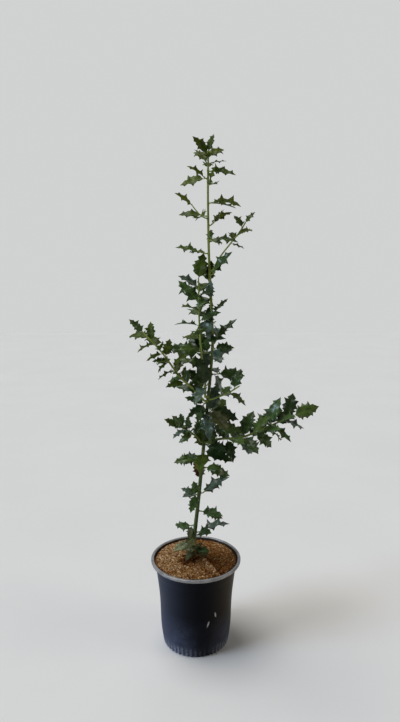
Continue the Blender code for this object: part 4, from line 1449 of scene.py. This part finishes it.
def makeTwigs(form, allSprays, made):
    # The shoots' own stems, sunk in the trunk or in their bough, with their buds
    shape = bmesh.new()
    for spray in allSprays:
        tip, ahead = pointOn(spray["path"], 1.0)
        addBud(shape, form, tip, ahead, form["budLength"])
        if not spray["radii"]:
            continue        # that stem is the bough's own bark
        thick, thin = spray["radii"]
        line = evenSteps([spray["path"][0] - spray["out"] * form["sunk"], *spray["path"]], form["rings"])
        total = pathLength(line)

        def radiusAt(index, angle):
            share = index / form["rings"]
            collar = form["collar"] * thick * hump(share * total, form["collarLength"])
            knots = form["knots"] * math.sin(index * 2.4 + angle)
            radius = thick + (thin - thick) * share + collar + knots
            return radius * form["end"] if index == form["rings"] else radius

        addLimb(shape, line, radiusAt, form["sides"])
    addLimbs("shoot_twigs", shape, made)


def makeStalks(form, allSprays, made):
    # Leaf stalks that run into the undersides of the midribs, and a bud in each axil
    shape = bmesh.new()
    thick, thin = form["stalkRadii"]
    for leaf in [leaf for spray in allSprays for leaf in spray["leaves"]]:
        small = min(1.0, leaf["length"] / form["fullLeaf"])
        path = [leafPoint(leaf, along, 0, -form["stalkSunk"] * small) for along in form["stalkPlaces"]]
        radii = [small * value for value in taper(thick, thin, len(path))]
        radii[-1] *= form["stalkEnd"]
        addLimb(shape, path, lambda index, angle: radii[index], form["stalkSides"])
        if leaf["length"] > form["axilLeaf"]:
            place = leafPoint(leaf, form["axilPlace"], 0, form["axilLift"])
            addBud(shape, form, place, (leaf["ahead"] + leaf["up"]).normalized(), form["axilBud"])
    addLimbs("leaf_stalks", shape, made)


sideSprays = growSideSprays(sideForm)
allSprays = sprays + sideSprays
youngBark = barkMaterial("young bark")
makeTwigs(twigForm, allSprays, youngBark)
makeStalks(twigForm, allSprays, youngBark)
makeLeaves(hollyLeaf, allSprays)
leafCounts = [sum(len(spray["leaves"]) for spray in group) for group in (allSprays, sideSprays)]
print("leaves:", leafCounts[0], "of them", leafCounts[1], "in side sprays")


# Studio

studio = {
    "floor": (0.738, 0.725, 0.705),
    "backdrop": (0.634, 0.645, 0.643),
    "ambient": 0.07,
    "ambientColour": (0.93, 0.96, 1.0),
    # soft suns: name, where it stands, colour, strength and spread in degrees
    "lights": (
        ("skylight", (-0.3, 0.1, 1.0), (1.0, 0.99, 0.96), 1.90, 40),
        ("window side", (-1.0, -0.35, 0.45), (0.64, 0.78, 1.0), 1.80, 26),
        ("warm side", (1.0, -0.20, 0.35), (1.0, 0.93, 0.80), 0.66, 30),
        ("back", (0.2, 1.0, 0.5), (0.95, 0.97, 1.0), 0.25, 50),
    ),
    "cameraPlace": (0.012, -1.474, 1.058),
    "cameraTilt": 81.2,
    "lens": 27.02,
    "sensor": 36,
}


def makeFloor(look):
    shape = bmesh.new()
    bmesh.ops.create_grid(shape, x_segments=8, y_segments=8, size=9.0)
    mesh = meshFrom("floor", shape)
    mesh.materials.append(mottledMaterial("floor paint", shade(look["floor"], 0.97), look["floor"],
                                          (2.0, 60.0), (0.80, 0.90)))
    floor = addObject("floor", mesh)


def makeLights(look):
    for name, place, colour, strength, spread in look["lights"]:
        light = bpy.data.lights.new(name, "SUN")
        light.energy, light.color, light.angle = strength, colour, math.radians(spread)
        lamp = addObject(name, light)
        lamp.location = place
        lamp.rotation_euler = Vector(place).to_track_quat("Z", "Y").to_euler()
    world = bpy.data.worlds.new("studio")
    bpy.context.scene.world = world
    world.use_nodes = True
    tree = world.node_tree
    tree.nodes.clear()
    choice = addNode(tree, "ShaderNodeMixShader")
    plug(tree, choice.inputs["Fac"], addNode(tree, "ShaderNodeLightPath").outputs["Is Camera Ray"])
    for socket, colour, strength in ((choice.inputs[1], look["ambientColour"], look["ambient"]),
                                     (choice.inputs[2], look["backdrop"], 1.0)):
        around = addNode(tree, "ShaderNodeBackground")
        plug(tree, around.inputs["Color"], colour)
        plug(tree, around.inputs["Strength"], strength)
        plug(tree, socket, around.outputs[0])
    plug(tree, addNode(tree, "ShaderNodeOutputWorld").inputs["Surface"], choice.outputs[0])


def makeCamera(look):
    camera = bpy.data.cameras.new("camera")
    camera.lens, camera.sensor_width = look["lens"], look["sensor"]
    eye = addObject("camera", camera)
    eye.location = look["cameraPlace"]
    eye.rotation_euler = (math.radians(look["cameraTilt"]), 0, 0)
    bpy.context.scene.camera = eye
    bpy.context.scene.view_settings.view_transform = "Standard"


makeFloor(studio)
makeLights(studio)
makeCamera(studio)
bpy.context.view_layer.update()
